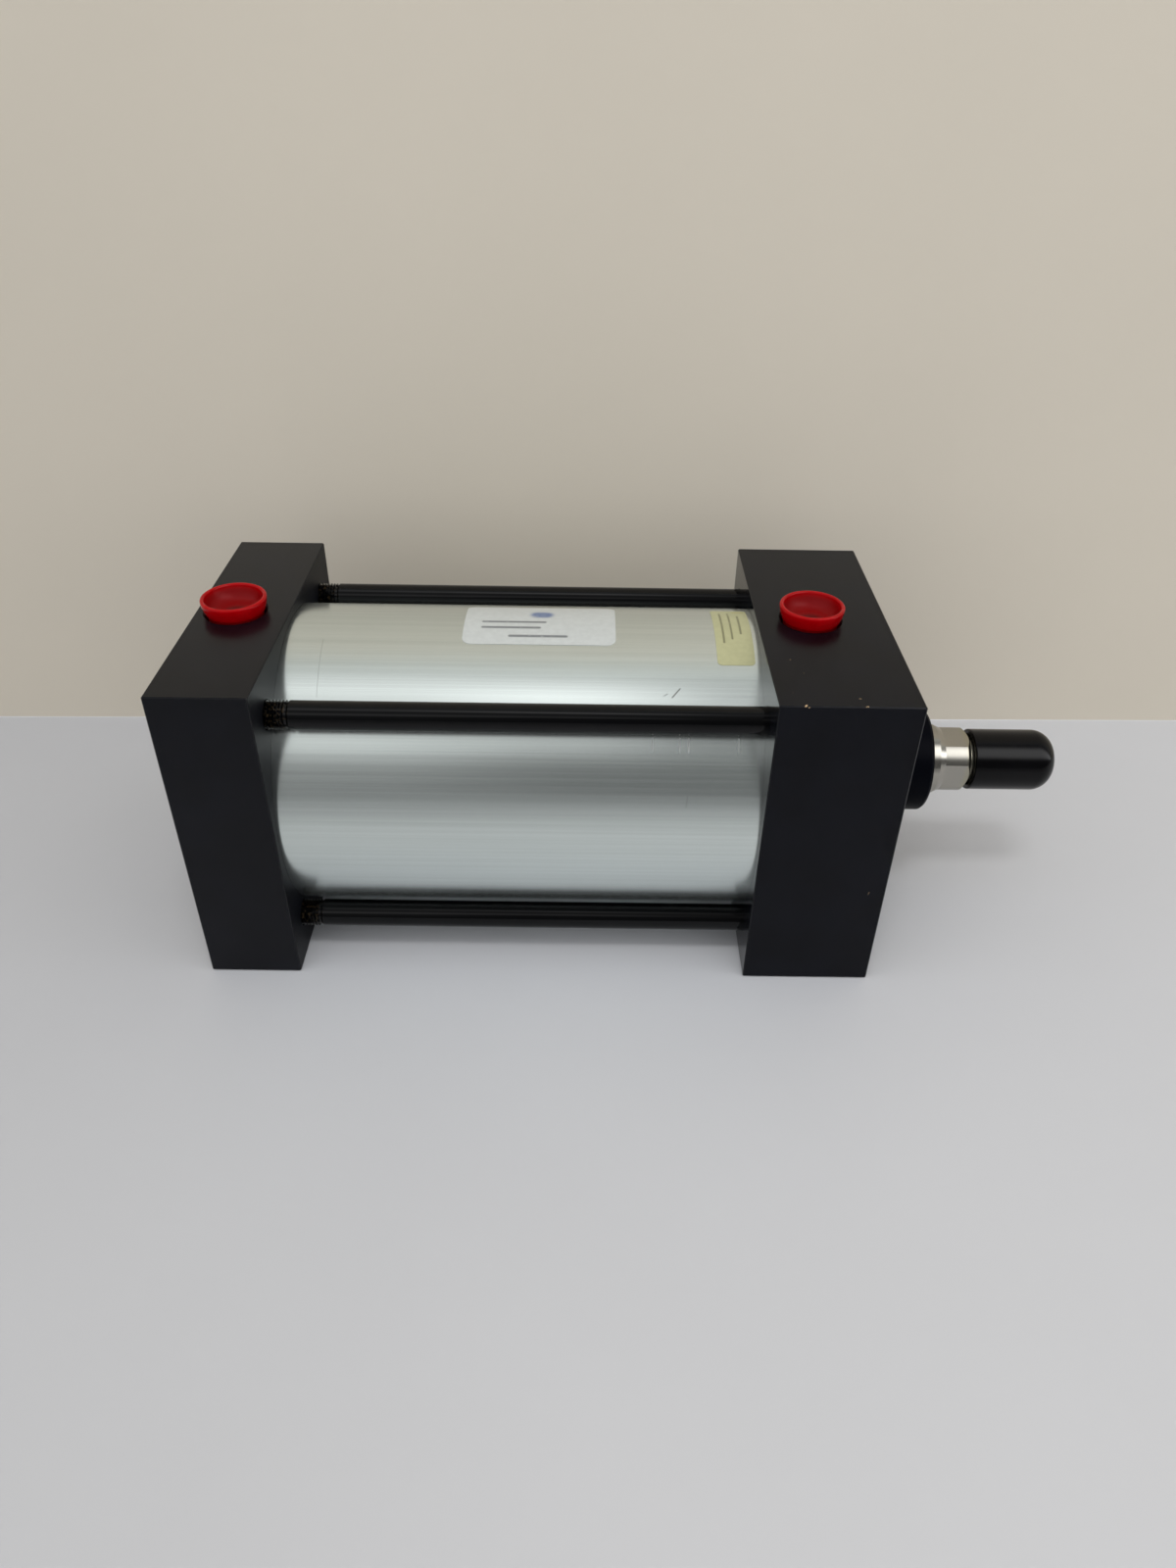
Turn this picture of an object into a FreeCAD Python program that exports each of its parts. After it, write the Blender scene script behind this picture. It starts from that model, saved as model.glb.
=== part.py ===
import FreeCAD, Part
import os
import re
import Sketcher
from FreeCAD import Placement, Rotation, Vector

# Air cylinder with square end blocks held together by four tie rods.
# X runs along the rod towards its free end and Z is up. The bottom faces lie at Z = 0, and
# the origin is the middle of the rectangle of tapped mounting holes in those faces.
# All sizes are millimetres. The cylinder is drawn with its rod drawn in.

# Driving sizes
SIZES = {
    # end blocks
    "block_side": 114.3,
    "head_length": 44.45,
    "cap_length": 31.75,
    "block_edge": 0.4,
    # barrel
    "bore": 101.6,
    "barrel_wall": 3.175,
    "barrel_lead": 0.8,
    "barrel_seat": 4.5,
    "barrel_seat_gap": 0.1,
    "barrel_seal_section": 1.9,
    "barrel_seal_inset": 0.9,
    "seal_groove_spread": 1.25,
    # travel
    "stroke": 127.0,
    "piston_stop_gap": 0.4,
    # tie rods and their nuts
    "tie_rod": 9.525,
    "tie_rod_pitch": 84.328,
    "tie_rod_hole_gap": 0.25,
    "tie_rod_stand": 1.0,
    "tie_rod_chamfer": 0.9,
    "nut_flats": 14.2875,
    "nut_height": 8.334,
    "nut_chamfer": 0.8,
    "nut_bore_gap": 0.02,
    "nut_sunk": 1.2,
    "washer_room": 0.6,
    "washer_height": 1.6,
    "socket_room": 1.6,
    # ports and mounting holes
    "port_inset": 18.5,
    "port_radius": 9.886,
    "port_depth": 20.0,
    "port_step": 2.0,
    "port_mouth": 0.9,
    "passage_radius": 7.0,
    "mount_inset": 17.4625,
    "mount_pitch": 52.3875,
    "mount_drill": 10.716,
    "mount_depth": 19.05,
    "mount_mouth": 11.5,
    # hollow in the middle of each end block
    "hollow_radius": 25.4,
    "hollow_mouth": 1.5,
    "hollow_beyond_port": 0.6,
    # rod gland
    "pilot": 38.1,
    "pilot_reach": 22.225,
    "pilot_edge": 0.8,
    "gland_neck": 39.0,
    "neck_gap": 0.05,
    "flange_radius": 23.0,
    "flange_length": 7.5,
    "flange_gap": 0.1,
    "gland_web": 3.0,
    "gland_rod_gap": 0.6,
    "gland_seal_section": 2.2,
    # retaining ring behind the gland
    "ring_lip": 1.0,
    "ring_height": 1.6,
    "ring_bite": 1.2,
    "ring_width": 3.6,
    "ring_gap": 0.05,
    "ring_turn": 318.0,
    "ring_lug": 2.4,
    "ring_lug_hole": 1.0,
    "ring_lug_turn": 4.0,
    "ring_lug_set": 0.6,
    # pieces that run on the rod
    "bushing_wall": 3.0,
    "bushing_edge": 0.6,
    "rod_seal_height": 4.8,
    "rod_seal_room": 6.6,
    "wiper_height": 4.3,
    "wiper_depth": 5.0,
    "wiper_reach": 1.2,
    "wiper_lip_height": 1.3,
    "wiper_lip_back": 2.0,
    "wiper_lip_crest": 0.25,
    "wiper_face_height": 2.7,
    "running_gap": 0.05,
    "side_gap": 0.1,
    "seal_rest_gap": 0.02,
    # rod
    "rod": 25.4,
    "rod_reach": 38.1,
    "rod_edge": 1.5,
    "neck_length": 11.8,
    "neck_taper": 2.2,
    "flats_across": 20.6375,
    "flats_depth": 1.33,
    "flats_length": 9.6,
    "flats_turn": 6.5,
    "stud": 19.05,
    "stud_length": 28.575,
    "stud_chamfer": 2.0,
    "relief_depth": 1.0,
    "relief_length": 2.4,
    "tail": 19.05,
    "tail_stand": 1.5,
    "tail_chamfer": 1.0,
    # piston
    "piston_length": 30.95,
    "piston_gap": 0.5,
    "piston_edge": 0.5,
    "piston_land": 1.875,
    "piston_register": 3.0,
    "piston_fit": 0.03,
    "piston_seal_room": 6.2,
    "piston_seal_depth": 5.95,
    "band_length": 8.4,
    "band_height": 3.5,
    "band_turn": 358.2,
    "magnet_length": 7.0,
    "magnet_height": 4.2,
    "tail_seal_section": 2.2,
    "tail_seal_set": 2.0,
    "piston_nut_flats": 28.575,
    "piston_nut_height": 10.7,
    "piston_nut_chamfer": 1.4,
    "piston_nut_depth": 7.0,
    "piston_nut_room": 2.0,
    # sleeve that guards the rod's thread
    "guard_wall": 1.575,
    "guard_gap": 0.1,
    "guard_start": 1.5,
    "guard_end_room": 2.4,
    "guard_end_wall": 1.4,
    "guard_outer_round": 7.5,
    "guard_inner_round": 4.5,
    "guard_rim_round": 0.5,
    # port plugs
    "plug_gap": 0.1,
    "plug_depth": 9.0,
    "plug_taper": 0.8,
    "plug_wall": 1.2,
    "plug_rim_foot": 0.8,
    "plug_rim_top": 5.3,
    "plug_rim_flare": 1.2,
    "plug_rim_width": 1.5,
    "plug_lip": 1.7,
    "plug_bowl_round": 2.5,
    "plug_outer_round": 0.8,
    "plug_inner_round": 0.5,
    "plug_cup_depth": 5.5,
    "plug_cup_step": 1.8,
}

# Stations and radii that several pieces share, worked out from the sizes
AXIS_HEIGHT = "block_side / 2"
BORE_RADIUS = "bore / 2"
ROD_RADIUS = "rod / 2"
TAIL_RADIUS = "tail / 2"
BARREL_GAP = "(stroke + piston_length + 2 * piston_stop_gap)"
HALF_PITCH = "tie_rod_pitch / 2"
NUT_CORNER = "nut_flats / 2 / cos(30)"
SOCKET_RADIUS = f"({NUT_CORNER} + socket_room)"
RECESS_DEPTH = "(washer_height + nut_height + nut_sunk)"
OUTER_SPAN = f"({BARREL_GAP} + head_length + cap_length)"
HOLLOW_DEPTH = "(port_inset + passage_radius + hollow_beyond_port)"
RING_START = f"({HOLLOW_DEPTH} + ring_lip)"
FLANGE_START = f"({RING_START} + ring_height)"
FLANGE_END = f"({FLANGE_START} + flange_length)"
GLAND_END = "(head_length + pilot_reach)"
WIPER_START = f"({GLAND_END} - wiper_depth)"
ROD_SEAL_END = f"({WIPER_START} - gland_web)"
ROD_SEAL_START = f"({ROD_SEAL_END} - rod_seal_room)"
BUSHING_END = f"({ROD_SEAL_START} - gland_web)"
BUSHING_RADIUS = f"({ROD_RADIUS} + running_gap + bushing_wall)"
ROD_SEAL_RADIUS = f"({ROD_RADIUS} + rod_seal_height)"
WIPER_RADIUS = f"({ROD_RADIUS} + wiper_height)"
PISTON_RADIUS = f"({BORE_RADIUS} - piston_gap)"
BAND_FLOOR = f"({BORE_RADIUS} - band_height)"
MAGNET_FLOOR = f"({BAND_FLOOR} - magnet_height)"
SEAL_FLOOR = f"({PISTON_RADIUS} - piston_seal_depth)"
OUTER_LAND = "((piston_length - band_length) / 2 - piston_land - piston_seal_room)"
ROD_BASE = "(piston_length - piston_register)"
PISTON_NUT_CORNER = "piston_nut_flats / 2 / cos(30)"
SHOULDER = f"({BARREL_GAP} - piston_stop_gap + head_length + rod_reach)"
STUD_RADIUS = "stud / 2"
NECK_RADIUS = "(flats_across / 2 + flats_depth)"
STUD_END = f"({SHOULDER} + stud_length)"
HEAD_FACE = f"{BARREL_GAP} / 2"
PISTON_REAR = f"piston_stop_gap - {BARREL_GAP} / 2"

# Shares of a lip seal's section: its width along the rod, and its height from wall to wall
LIP_CREST = 0.86
LIP_ROOT = 0.45
LIP_THICK = 0.2
LIP_BEVEL = 0.08
LIP_WAIST = 0.05

# A nut's corners are turned off at this angle to its faces, in degrees
NUT_CHAMFER_ANGLE = 30
DRILL_POINT_ANGLE = 118
COUNTERSINK_ANGLE = 90

# Two places closer than this are the same one
SAME_PLACE = 0.01

doc = FreeCAD.newDocument("AirCylinder")
sheet = doc.addObject("Spreadsheet::Sheet", "Sizes")
for row, (alias, number) in enumerate(SIZES.items(), 1):
    sheet.set(f"A{row}", alias.replace("_", " "))
    sheet.set(f"B{row}", str(number))
    sheet.setAlias(f"B{row}", alias)
doc.recompute()

bodies = []


def tied(text):
    """The expression with the sheet's name before each size in it."""
    def named(word):
        return f"Sizes.{word.group()}" if word.group() in SIZES else word.group()

    return re.sub(r"[a-z_]+", named, text)


def value(text):
    """The number that an expression of sizes gives."""
    return float(sheet.evalExpression(tied(text)))


def new_body(label, x="0", z=AXIS_HEIGHT, turn=0):
    """An empty body whose own origin stands at a tied place, turned about the vertical."""
    body = doc.addObject("PartDesign::Body", label)
    body.Label = label
    body.Placement = Placement(Vector(), Rotation(Vector(0, 0, 1), turn))
    for axis, place in (("x", x), ("z", z)):
        body.setExpression(f"Placement.Base.{axis}", tied(place))
    bodies.append(body)
    return body


def origin_part(body, role):
    """The plane or axis of the body's own origin that has this role."""
    return next(o for o in body.Origin.OriginFeatures if o.Role == role)


def new_sketch(body, plane, name, right="0", up="0", lift="0", turn="0"):
    """A sketch on a plane of the body's origin, moved in the plane, lifted off it and turned."""
    sketch = body.newObject("Sketcher::SketchObject", name)
    sketch.AttachmentSupport = [(origin_part(body, plane), "")]
    sketch.MapMode = "FlatFace"
    sketch.AttachmentOffset = Placement(Vector(), Rotation(Vector(0, 0, 1), value(turn)))
    for axis, place in (("x", right), ("y", up), ("z", lift)):
        if place != "0":
            sketch.setExpression(f"AttachmentOffset.Base.{axis}", tied(place))
    if turn != "0":
        sketch.setExpression("AttachmentOffset.Rotation.Angle", tied(turn))
    return sketch


def hold_point(sketch, geometry, point, right, up):
    """Hold a point of the sketch at two tied distances from the sketch's origin."""
    for kind, place, axis in (("DistanceX", right, -2), ("DistanceY", up, -1)):
        if place == "0":
            sketch.addConstraint(Sketcher.Constraint("PointOnObject", geometry, point, axis))
        else:
            held = Sketcher.Constraint(kind, -1, 1, geometry, point, value(place))
            index = sketch.addConstraint(held)
            sketch.setExpression(f"Constraints[{index}]", tied(place))


def draw_outline(sketch, corners):
    """A closed outline of straight edges through tied corners."""
    first = sketch.GeometryCount
    places = [Vector(value(right), value(up), 0) for right, up in corners]
    for start, end in zip(places, places[1:] + places[:1]):
        sketch.addGeometry(Part.LineSegment(start, end), False)
    count = len(corners)
    for i in range(count):
        following = first + (i + 1) % count
        sketch.addConstraint(Sketcher.Constraint("Coincident", first + i, 2, following, 1))
    for i, (right, up) in enumerate(corners):
        hold_point(sketch, first + i, 1, right, up)


def draw_circle(sketch, right, up, radius):
    """A circle with a tied centre and radius."""
    centre = Vector(value(right), value(up), 0)
    circle = sketch.addGeometry(Part.Circle(centre, Vector(0, 0, 1), value(radius)), False)
    hold_point(sketch, circle, 3, right, up)
    index = sketch.addConstraint(Sketcher.Constraint("Radius", circle, value(radius)))
    sketch.setExpression(f"Constraints[{index}]", tied(radius))


def turned(body, name, corners, cut=False, plane="XY_Plane", axis="H_Axis", sweep=None, **place):
    """A form turned about the sketch's axis, added to the body or cut from it."""
    sketch = new_sketch(body, plane, name + "_section", **place)
    draw_outline(sketch, corners)
    return spun(body, name, sketch, cut, axis, sweep)


def spun(body, name, sketch, cut=False, axis="H_Axis", sweep=None):
    """Turn a drawn section about its sketch's axis, all the way or through a tied angle."""
    kind = "PartDesign::Groove" if cut else "PartDesign::Revolution"
    feature = body.newObject(kind, name)
    feature.Profile = sketch
    feature.ReferenceAxis = (sketch, [axis])
    feature.Angle = 360
    if sweep:
        feature.Midplane = True
        feature.setExpression("Angle", tied(sweep))
    return feature


def padded(body, name, sketch, length, cut=False):
    """A drawn section pulled straight out of its plane, added or cut away."""
    feature = body.newObject("PartDesign::Pocket" if cut else "PartDesign::Pad", name)
    feature.Profile = sketch
    feature.setExpression("Length", tied(length))
    feature.Reversed = cut
    return feature


def bored(body, name, sketch, diameter, cut_kind, cut_diameter, depth=None, cut_depth=None):
    """Drilled holes at the sketch's circles, with a counterbore or a countersink."""
    hole = body.newObject("PartDesign::Hole", name)
    hole.Profile = sketch
    doc.recompute()
    hole.ThreadType = "None"
    hole.setExpression("Diameter", tied(diameter))
    hole.HoleCutType = cut_kind
    hole.HoleCutCustomValues = True
    hole.setExpression("HoleCutDiameter", tied(cut_diameter))
    if cut_depth:
        hole.setExpression("HoleCutDepth", tied(cut_depth))
    else:
        hole.HoleCutCountersinkAngle = COUNTERSINK_ANGLE
    if depth:
        hole.DepthType = "Dimension"
        hole.setExpression("Depth", tied(depth))
        hole.DrillPoint = "Angled"
        hole.DrillPointAngle = DRILL_POINT_ANGLE
    else:
        hole.DepthType = "ThroughAll"
    return hole


def repeated(body, name, features, steps):
    """Copies of features in a grid: one more copy along each axis, a tied step away."""
    grid = body.newObject("PartDesign::MultiTransform", name)
    grid.Originals = features
    patterns = []
    for axis, step in steps:
        pattern = body.newObject("PartDesign::LinearPattern", f"{name}_{axis[0].lower()}")
        pattern.Direction = (origin_part(body, axis), [""])
        pattern.Occurrences = 2
        pattern.setExpression("Length", tied(step))
        patterns.append(pattern)
    grid.Transformations = patterns
    body.Tip = grid


def hexagon(corner_radius):
    """Corners of a hexagon with two corners on the sketch's level line."""
    angles = range(0, 360, 60)
    return [(f"{corner_radius} * cos({a})", f"{corner_radius} * sin({a})") for a in angles]


def square_corners(half):
    """Corners of a square about the sketch's origin, half its side away."""
    return [(f"-{half}", f"-{half}"), (half, f"-{half}"), (half, half), (f"-{half}", half)]


# End blocks
def make_block(label, length, x, turn, bores):
    """A square block in its own frame: the inner face at X = 0, the outer face at X = length."""
    body = new_body(label, x=x, turn=turn)
    square = new_sketch(body, "YZ_Plane", label + "_square")
    draw_outline(square, square_corners("block_side / 2"))
    bar = padded(body, label + "_bar", square, length)
    edges = body.newObject("PartDesign::Chamfer", label + "_edges")
    edges.Base = (bar, [""])
    edges.UseAllEdges = True
    edges.setExpression("Size", tied("block_edge"))

    # ring-shaped seat for the barrel, with a seal groove in the core inside it
    core = f"({BORE_RADIUS} - barrel_seat_gap)"
    groove = f"({BORE_RADIUS} - barrel_seal_section)"
    seal_from = "barrel_seal_inset"
    seal_to = "barrel_seal_inset + barrel_seal_section * seal_groove_spread"
    outer = f"({BORE_RADIUS} + barrel_wall + barrel_seat_gap)"
    turned(body, label + "_seat", [
        ("0", core), (seal_from, core), (seal_from, groove), (seal_to, groove),
        (seal_to, core), ("barrel_seat", core), ("barrel_seat", outer), ("0", outer),
    ], cut=True)

    # stepped hollow on the axis, then the port that drops into it
    turned(body, label + "_hollow", bores, cut=True)
    turned(body, label + "_port", [
        ("0", "0"), ("passage_radius", "0"), ("passage_radius", f"{AXIS_HEIGHT} - port_depth - port_step"),
        ("port_radius", f"{AXIS_HEIGHT} - port_depth"), ("port_radius", f"{AXIS_HEIGHT} - port_mouth"),
        ("port_radius + port_mouth", AXIS_HEIGHT), ("0", AXIS_HEIGHT),
    ], cut=True, plane="XZ_Plane", axis="V_Axis", right="port_inset")

    # four tie rod holes, counterbored for nut and washer from the outer face
    corners = new_sketch(body, "YZ_Plane", label + "_tie_rod_places", lift=length)
    for right in (f"-{HALF_PITCH}", HALF_PITCH):
        for up in (f"-{HALF_PITCH}", HALF_PITCH):
            draw_circle(corners, right, up, "tie_rod / 2 + tie_rod_hole_gap")
    bored(body, label + "_tie_rod_holes", corners, "tie_rod + 2 * tie_rod_hole_gap",
          "Counterbore", f"2 * {SOCKET_RADIUS}", cut_depth=RECESS_DEPTH)

    # two tapped mounting holes in the bottom
    bottom = new_sketch(body, "XY_Plane", label + "_mount_places", lift=f"-{AXIS_HEIGHT}")
    for up in ("-mount_pitch / 2", "mount_pitch / 2"):
        draw_circle(bottom, "mount_inset", up, "mount_drill / 2")
    mounts = bored(body, label + "_mount_holes", bottom, "mount_drill",
                   "Countersink", "mount_mouth", depth="mount_depth")
    mounts.Reversed = True


RING_FLOOR = "(flange_radius + ring_bite)"
HEAD_BORES = [
    ("0", "0"), ("0", "hollow_radius + hollow_mouth"), ("hollow_mouth", "hollow_radius"),
    (HOLLOW_DEPTH, "hollow_radius"), (HOLLOW_DEPTH, "flange_radius"),
    (RING_START, "flange_radius"), (RING_START, RING_FLOOR),
    (f"{FLANGE_START} + ring_gap", RING_FLOOR), (f"{FLANGE_START} + ring_gap", "flange_radius"),
    (FLANGE_END, "flange_radius"), (FLANGE_END, "gland_neck / 2 + neck_gap"),
    ("head_length", "gland_neck / 2 + neck_gap"), ("head_length", "0"),
]
CAP_BORES = [
    ("0", "0"), ("0", "hollow_radius + hollow_mouth"), ("hollow_mouth", "hollow_radius"),
    (HOLLOW_DEPTH, "hollow_radius"), (HOLLOW_DEPTH, "0"),
]
make_block("head_block", "head_length", HEAD_FACE, 0, HEAD_BORES)
make_block("cap_block", "cap_length", f"-{HEAD_FACE}", 180, CAP_BORES)

# Barrel between the blocks, with a lead inside each end so that the seals enter
barrel = new_body("barrel")
half_barrel = f"({HEAD_FACE} + barrel_seat)"
turned(barrel, "barrel_tube", [
    (f"-{half_barrel}", f"{BORE_RADIUS} + barrel_lead"), (f"barrel_lead - {half_barrel}", BORE_RADIUS),
    (f"{half_barrel} - barrel_lead", BORE_RADIUS), (half_barrel, f"{BORE_RADIUS} + barrel_lead"),
    (half_barrel, f"{BORE_RADIUS} + barrel_wall"), (f"-{half_barrel}", f"{BORE_RADIUS} + barrel_wall"),
])


def make_o_ring(label, x, station, wall, section, turn=0):
    """A round-section ring that fills its groove from the floor to the wall outside it."""
    body = new_body(label, x=x, turn=turn)
    sketch = new_sketch(body, "XY_Plane", label + "_section")
    draw_circle(sketch, station, f"{wall} - {section} / 2", f"{section} / 2 - seal_rest_gap")
    spun(body, label + "_ring", sketch)


seal_station = "barrel_seal_inset + barrel_seal_section * seal_groove_spread / 2"
make_o_ring("head_barrel_seal", HEAD_FACE, seal_station, BORE_RADIUS, "barrel_seal_section")
make_o_ring("cap_barrel_seal", f"-{HEAD_FACE}", seal_station, BORE_RADIUS, "barrel_seal_section", 180)

# Tie rods with their washers and nuts, drawn at one corner and repeated to the others
CAP_FLOOR = f"({RECESS_DEPTH} - {HEAD_FACE} - cap_length)"
ACROSS = [("Y_Axis", "tie_rod_pitch"), ("Z_Axis", "tie_rod_pitch")]
CORNER = {"right": f"-{HALF_PITCH}", "up": f"-{HALF_PITCH}"}

rods = new_body("tie_rods")
rod_from = f"({CAP_FLOOR} - washer_height - nut_height - tie_rod_stand)"
rod_to = f"({rod_from} + {OUTER_SPAN} - 2 * (nut_sunk - tie_rod_stand))"
edge = "(tie_rod / 2 - tie_rod_chamfer)"
first_rod = turned(rods, "tie_rod", [
    (rod_from, "0"), (rod_from, edge), (f"{rod_from} + tie_rod_chamfer", "tie_rod / 2"),
    (f"{rod_to} - tie_rod_chamfer", "tie_rod / 2"), (rod_to, edge), (rod_to, "0"),
], up=f"-{HALF_PITCH}", lift=f"-{HALF_PITCH}")
repeated(rods, "tie_rod_grid", [first_rod], ACROSS)

washers = new_body("tie_rod_washers")
flat = new_sketch(washers, "YZ_Plane", "washer_ring", lift=f"{CAP_FLOOR} - washer_height", **CORNER)
draw_circle(flat, "0", "0", f"{SOCKET_RADIUS} - washer_room")
draw_circle(flat, "0", "0", "tie_rod / 2 + tie_rod_hole_gap")
first_washer = padded(washers, "washer_plate", flat, "washer_height")
repeated(washers, "washer_grid", [first_washer],
         ACROSS + [("X_Axis", f"{OUTER_SPAN} - 2 * {RECESS_DEPTH} + washer_height")])


def hex_nut(body, name, start, height, corner, bore, chamfer, **place):
    """A hexagon nut, bored through, with its corners turned off at both faces."""
    sketch = new_sketch(body, "YZ_Plane", name + "_hexagon", lift=start, **place)
    draw_outline(sketch, hexagon(corner))
    draw_circle(sketch, "0", "0", bore)
    blank = padded(body, name + "_blank", sketch, height)
    slope = f"{chamfer} * tan({NUT_CHAMFER_ANGLE})"
    cuts = []
    for end, face, inward in (("rear", start, "+"), ("front", f"{start} + {height}", "-")):
        cut = turned(body, f"{name}_{end}_chamfer", [
            (face, f"{corner} - {chamfer}"), (face, f"{corner} + {chamfer}"),
            (f"{face} {inward} 2 * {slope}", f"{corner} + {chamfer}"),
        ], cut=True, up=place.get("right", "0"), lift=place.get("up", "0"))
        cuts.append(cut)
    return [blank] + cuts


nuts = new_body("tie_rod_nuts")
nut_start = f"({CAP_FLOOR} - washer_height - nut_height)"
first_nut = hex_nut(nuts, "nut", nut_start, "nut_height", NUT_CORNER,
                    "tie_rod / 2 + nut_bore_gap", "nut_chamfer", **CORNER)
repeated(nuts, "nut_grid", first_nut,
         ACROSS + [("X_Axis", f"{OUTER_SPAN} - 2 * {RECESS_DEPTH} + 2 * washer_height + nut_height")])

# Rod gland: a flanged cartridge pushed into the head from inside, its nose the pilot outside
gland = new_body("rod_gland", x=HEAD_FACE)
clear_bore = f"({ROD_RADIUS} + gland_rod_gap)"
flange_outer = "(flange_radius - flange_gap)"
seal_floor = "(flange_radius - gland_seal_section)"
seal_mid = f"({FLANGE_START} + flange_length / 2)"
seal_half = "gland_seal_section * seal_groove_spread / 2"
turned(gland, "gland_body", [
    (FLANGE_START, BUSHING_RADIUS), (FLANGE_START, flange_outer),
    (f"{seal_mid} - {seal_half}", flange_outer), (f"{seal_mid} - {seal_half}", seal_floor),
    (f"{seal_mid} + {seal_half}", seal_floor), (f"{seal_mid} + {seal_half}", flange_outer),
    (FLANGE_END, flange_outer), (FLANGE_END, "gland_neck / 2"),
    ("head_length", "gland_neck / 2"), ("head_length", "pilot / 2"),
    (f"{GLAND_END} - pilot_edge", "pilot / 2"), (GLAND_END, "pilot / 2 - pilot_edge"),
    (GLAND_END, WIPER_RADIUS), (WIPER_START, WIPER_RADIUS), (WIPER_START, clear_bore),
    (ROD_SEAL_END, clear_bore), (ROD_SEAL_END, ROD_SEAL_RADIUS),
    (ROD_SEAL_START, ROD_SEAL_RADIUS), (ROD_SEAL_START, clear_bore),
    (BUSHING_END, clear_bore), (BUSHING_END, BUSHING_RADIUS),
])
make_o_ring("gland_seal", HEAD_FACE, seal_mid, "flange_radius", "gland_seal_section")

bushing = new_body("rod_bushing", x=HEAD_FACE)
bush_inner = f"({ROD_RADIUS} + running_gap)"
bush_outer = f"({BUSHING_RADIUS} - seal_rest_gap)"
turned(bushing, "bushing_sleeve", [
    (FLANGE_START, f"{bush_inner} + bushing_edge"), (f"{FLANGE_START} + bushing_edge", bush_inner),
    (f"{BUSHING_END} - bushing_edge", bush_inner), (BUSHING_END, f"{bush_inner} + bushing_edge"),
    (BUSHING_END, f"{bush_outer} - bushing_edge"), (f"{BUSHING_END} - bushing_edge", bush_outer),
    (FLANGE_START, bush_outer),
])

# Retaining ring: an open ring sprung into the head's groove, with two lugs for the pliers
ring = new_body("gland_retaining_ring", x=HEAD_FACE)
ring_outer = f"({RING_FLOOR} - ring_gap)"
ring_inner = f"({ring_outer} - ring_width)"
turned(ring, "ring_bow", [
    (RING_START, ring_inner), (FLANGE_START, ring_inner),
    (FLANGE_START, ring_outer), (RING_START, ring_outer),
], sweep="ring_turn")
lug_at = f"({ring_inner} + ring_lug_set)"
lug_angle = "(ring_turn / 2 - ring_lug_turn)"
for name, radius, cut in (("ring_lugs", "ring_lug", False), ("ring_lug_holes", "ring_lug_hole", True)):
    lugs = new_sketch(ring, "YZ_Plane", name + "_places", lift=RING_START)
    for side in ("", "-"):
        draw_circle(lugs, f"{lug_at} * cos({lug_angle})", f"{side}{lug_at} * sin({lug_angle})", radius)
    padded(ring, name, lugs, "ring_height", cut)


def lip_seal(label, x, rear, front, facing, inner, outer):
    """A U-shaped lip seal in a groove from rear to front, its lips facing +1 or -1 along X."""
    body = new_body(label, x=x)
    width = f"({front} - {rear} - 2 * side_gap)"
    height = f"({outer} - {inner})"
    heel = f"({rear} + side_gap)" if facing > 0 else f"({front} - side_gap)"

    def corner(along, base, share):
        return (f"{heel} + {facing} * {width} * {along}", f"{base} + {height} * {share}")

    turned(body, label + "_ring", [
        corner(0, inner, LIP_BEVEL), corner(0, outer, -LIP_BEVEL),
        corner(LIP_ROOT, outer, -LIP_WAIST), corner(LIP_CREST, outer, 0),
        corner(1, outer, -LIP_BEVEL), corner(1, outer, -LIP_THICK), corner(LIP_ROOT, inner, 0.5),
        corner(1, inner, LIP_THICK), corner(1, inner, LIP_BEVEL),
        corner(LIP_CREST, inner, 0), corner(LIP_ROOT, inner, LIP_WAIST),
    ])


lip_seal("rod_seal", HEAD_FACE, ROD_SEAL_START, ROD_SEAL_END, -1,
         f"({ROD_RADIUS} + running_gap)", f"({ROD_SEAL_RADIUS} - seal_rest_gap)")

# Wiper: pressed into the gland's nose, its lip standing out round the rod
wiper = new_body("rod_wiper", x=HEAD_FACE)
lip_root = f"({ROD_RADIUS} + wiper_lip_height)"
wiper_outer = f"({WIPER_RADIUS} - seal_rest_gap)"
lip_end = f"({GLAND_END} + wiper_reach)"
turned(wiper, "wiper_ring", [
    (WIPER_START, lip_root), (WIPER_START, wiper_outer), (GLAND_END, wiper_outer),
    (GLAND_END, f"{ROD_RADIUS} + wiper_face_height"), (lip_end, lip_root),
    (f"{lip_end} - wiper_lip_crest", f"{ROD_RADIUS} + running_gap"),
    (f"{GLAND_END} - wiper_lip_back", lip_root),
])

# Piston in its own frame: the rear face, towards the cap, at X = 0
piston = new_body("piston", x=PISTON_REAR)
band_from = "(piston_length / 2 - band_length / 2)"
band_to = "(piston_length / 2 + band_length / 2)"
magnet_from = "(piston_length / 2 - magnet_length / 2)"
magnet_to = "(piston_length / 2 + magnet_length / 2)"
rear_groove = f"({OUTER_LAND} + piston_seal_room)"
front_groove = f"(piston_length - {OUTER_LAND} - piston_seal_room)"
front_land = f"(piston_length - {OUTER_LAND})"
hub = f"({TAIL_RADIUS} + piston_fit)"
hub_groove_from = "(piston_length / 2 + tail_seal_set)"
hub_groove_to = f"({hub_groove_from} + tail_seal_section * seal_groove_spread)"
hub_groove = f"({TAIL_RADIUS} + tail_seal_section)"
register = f"({ROD_RADIUS} + piston_fit)"
nut_pocket = f"({PISTON_NUT_CORNER} + piston_nut_room)"
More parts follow.
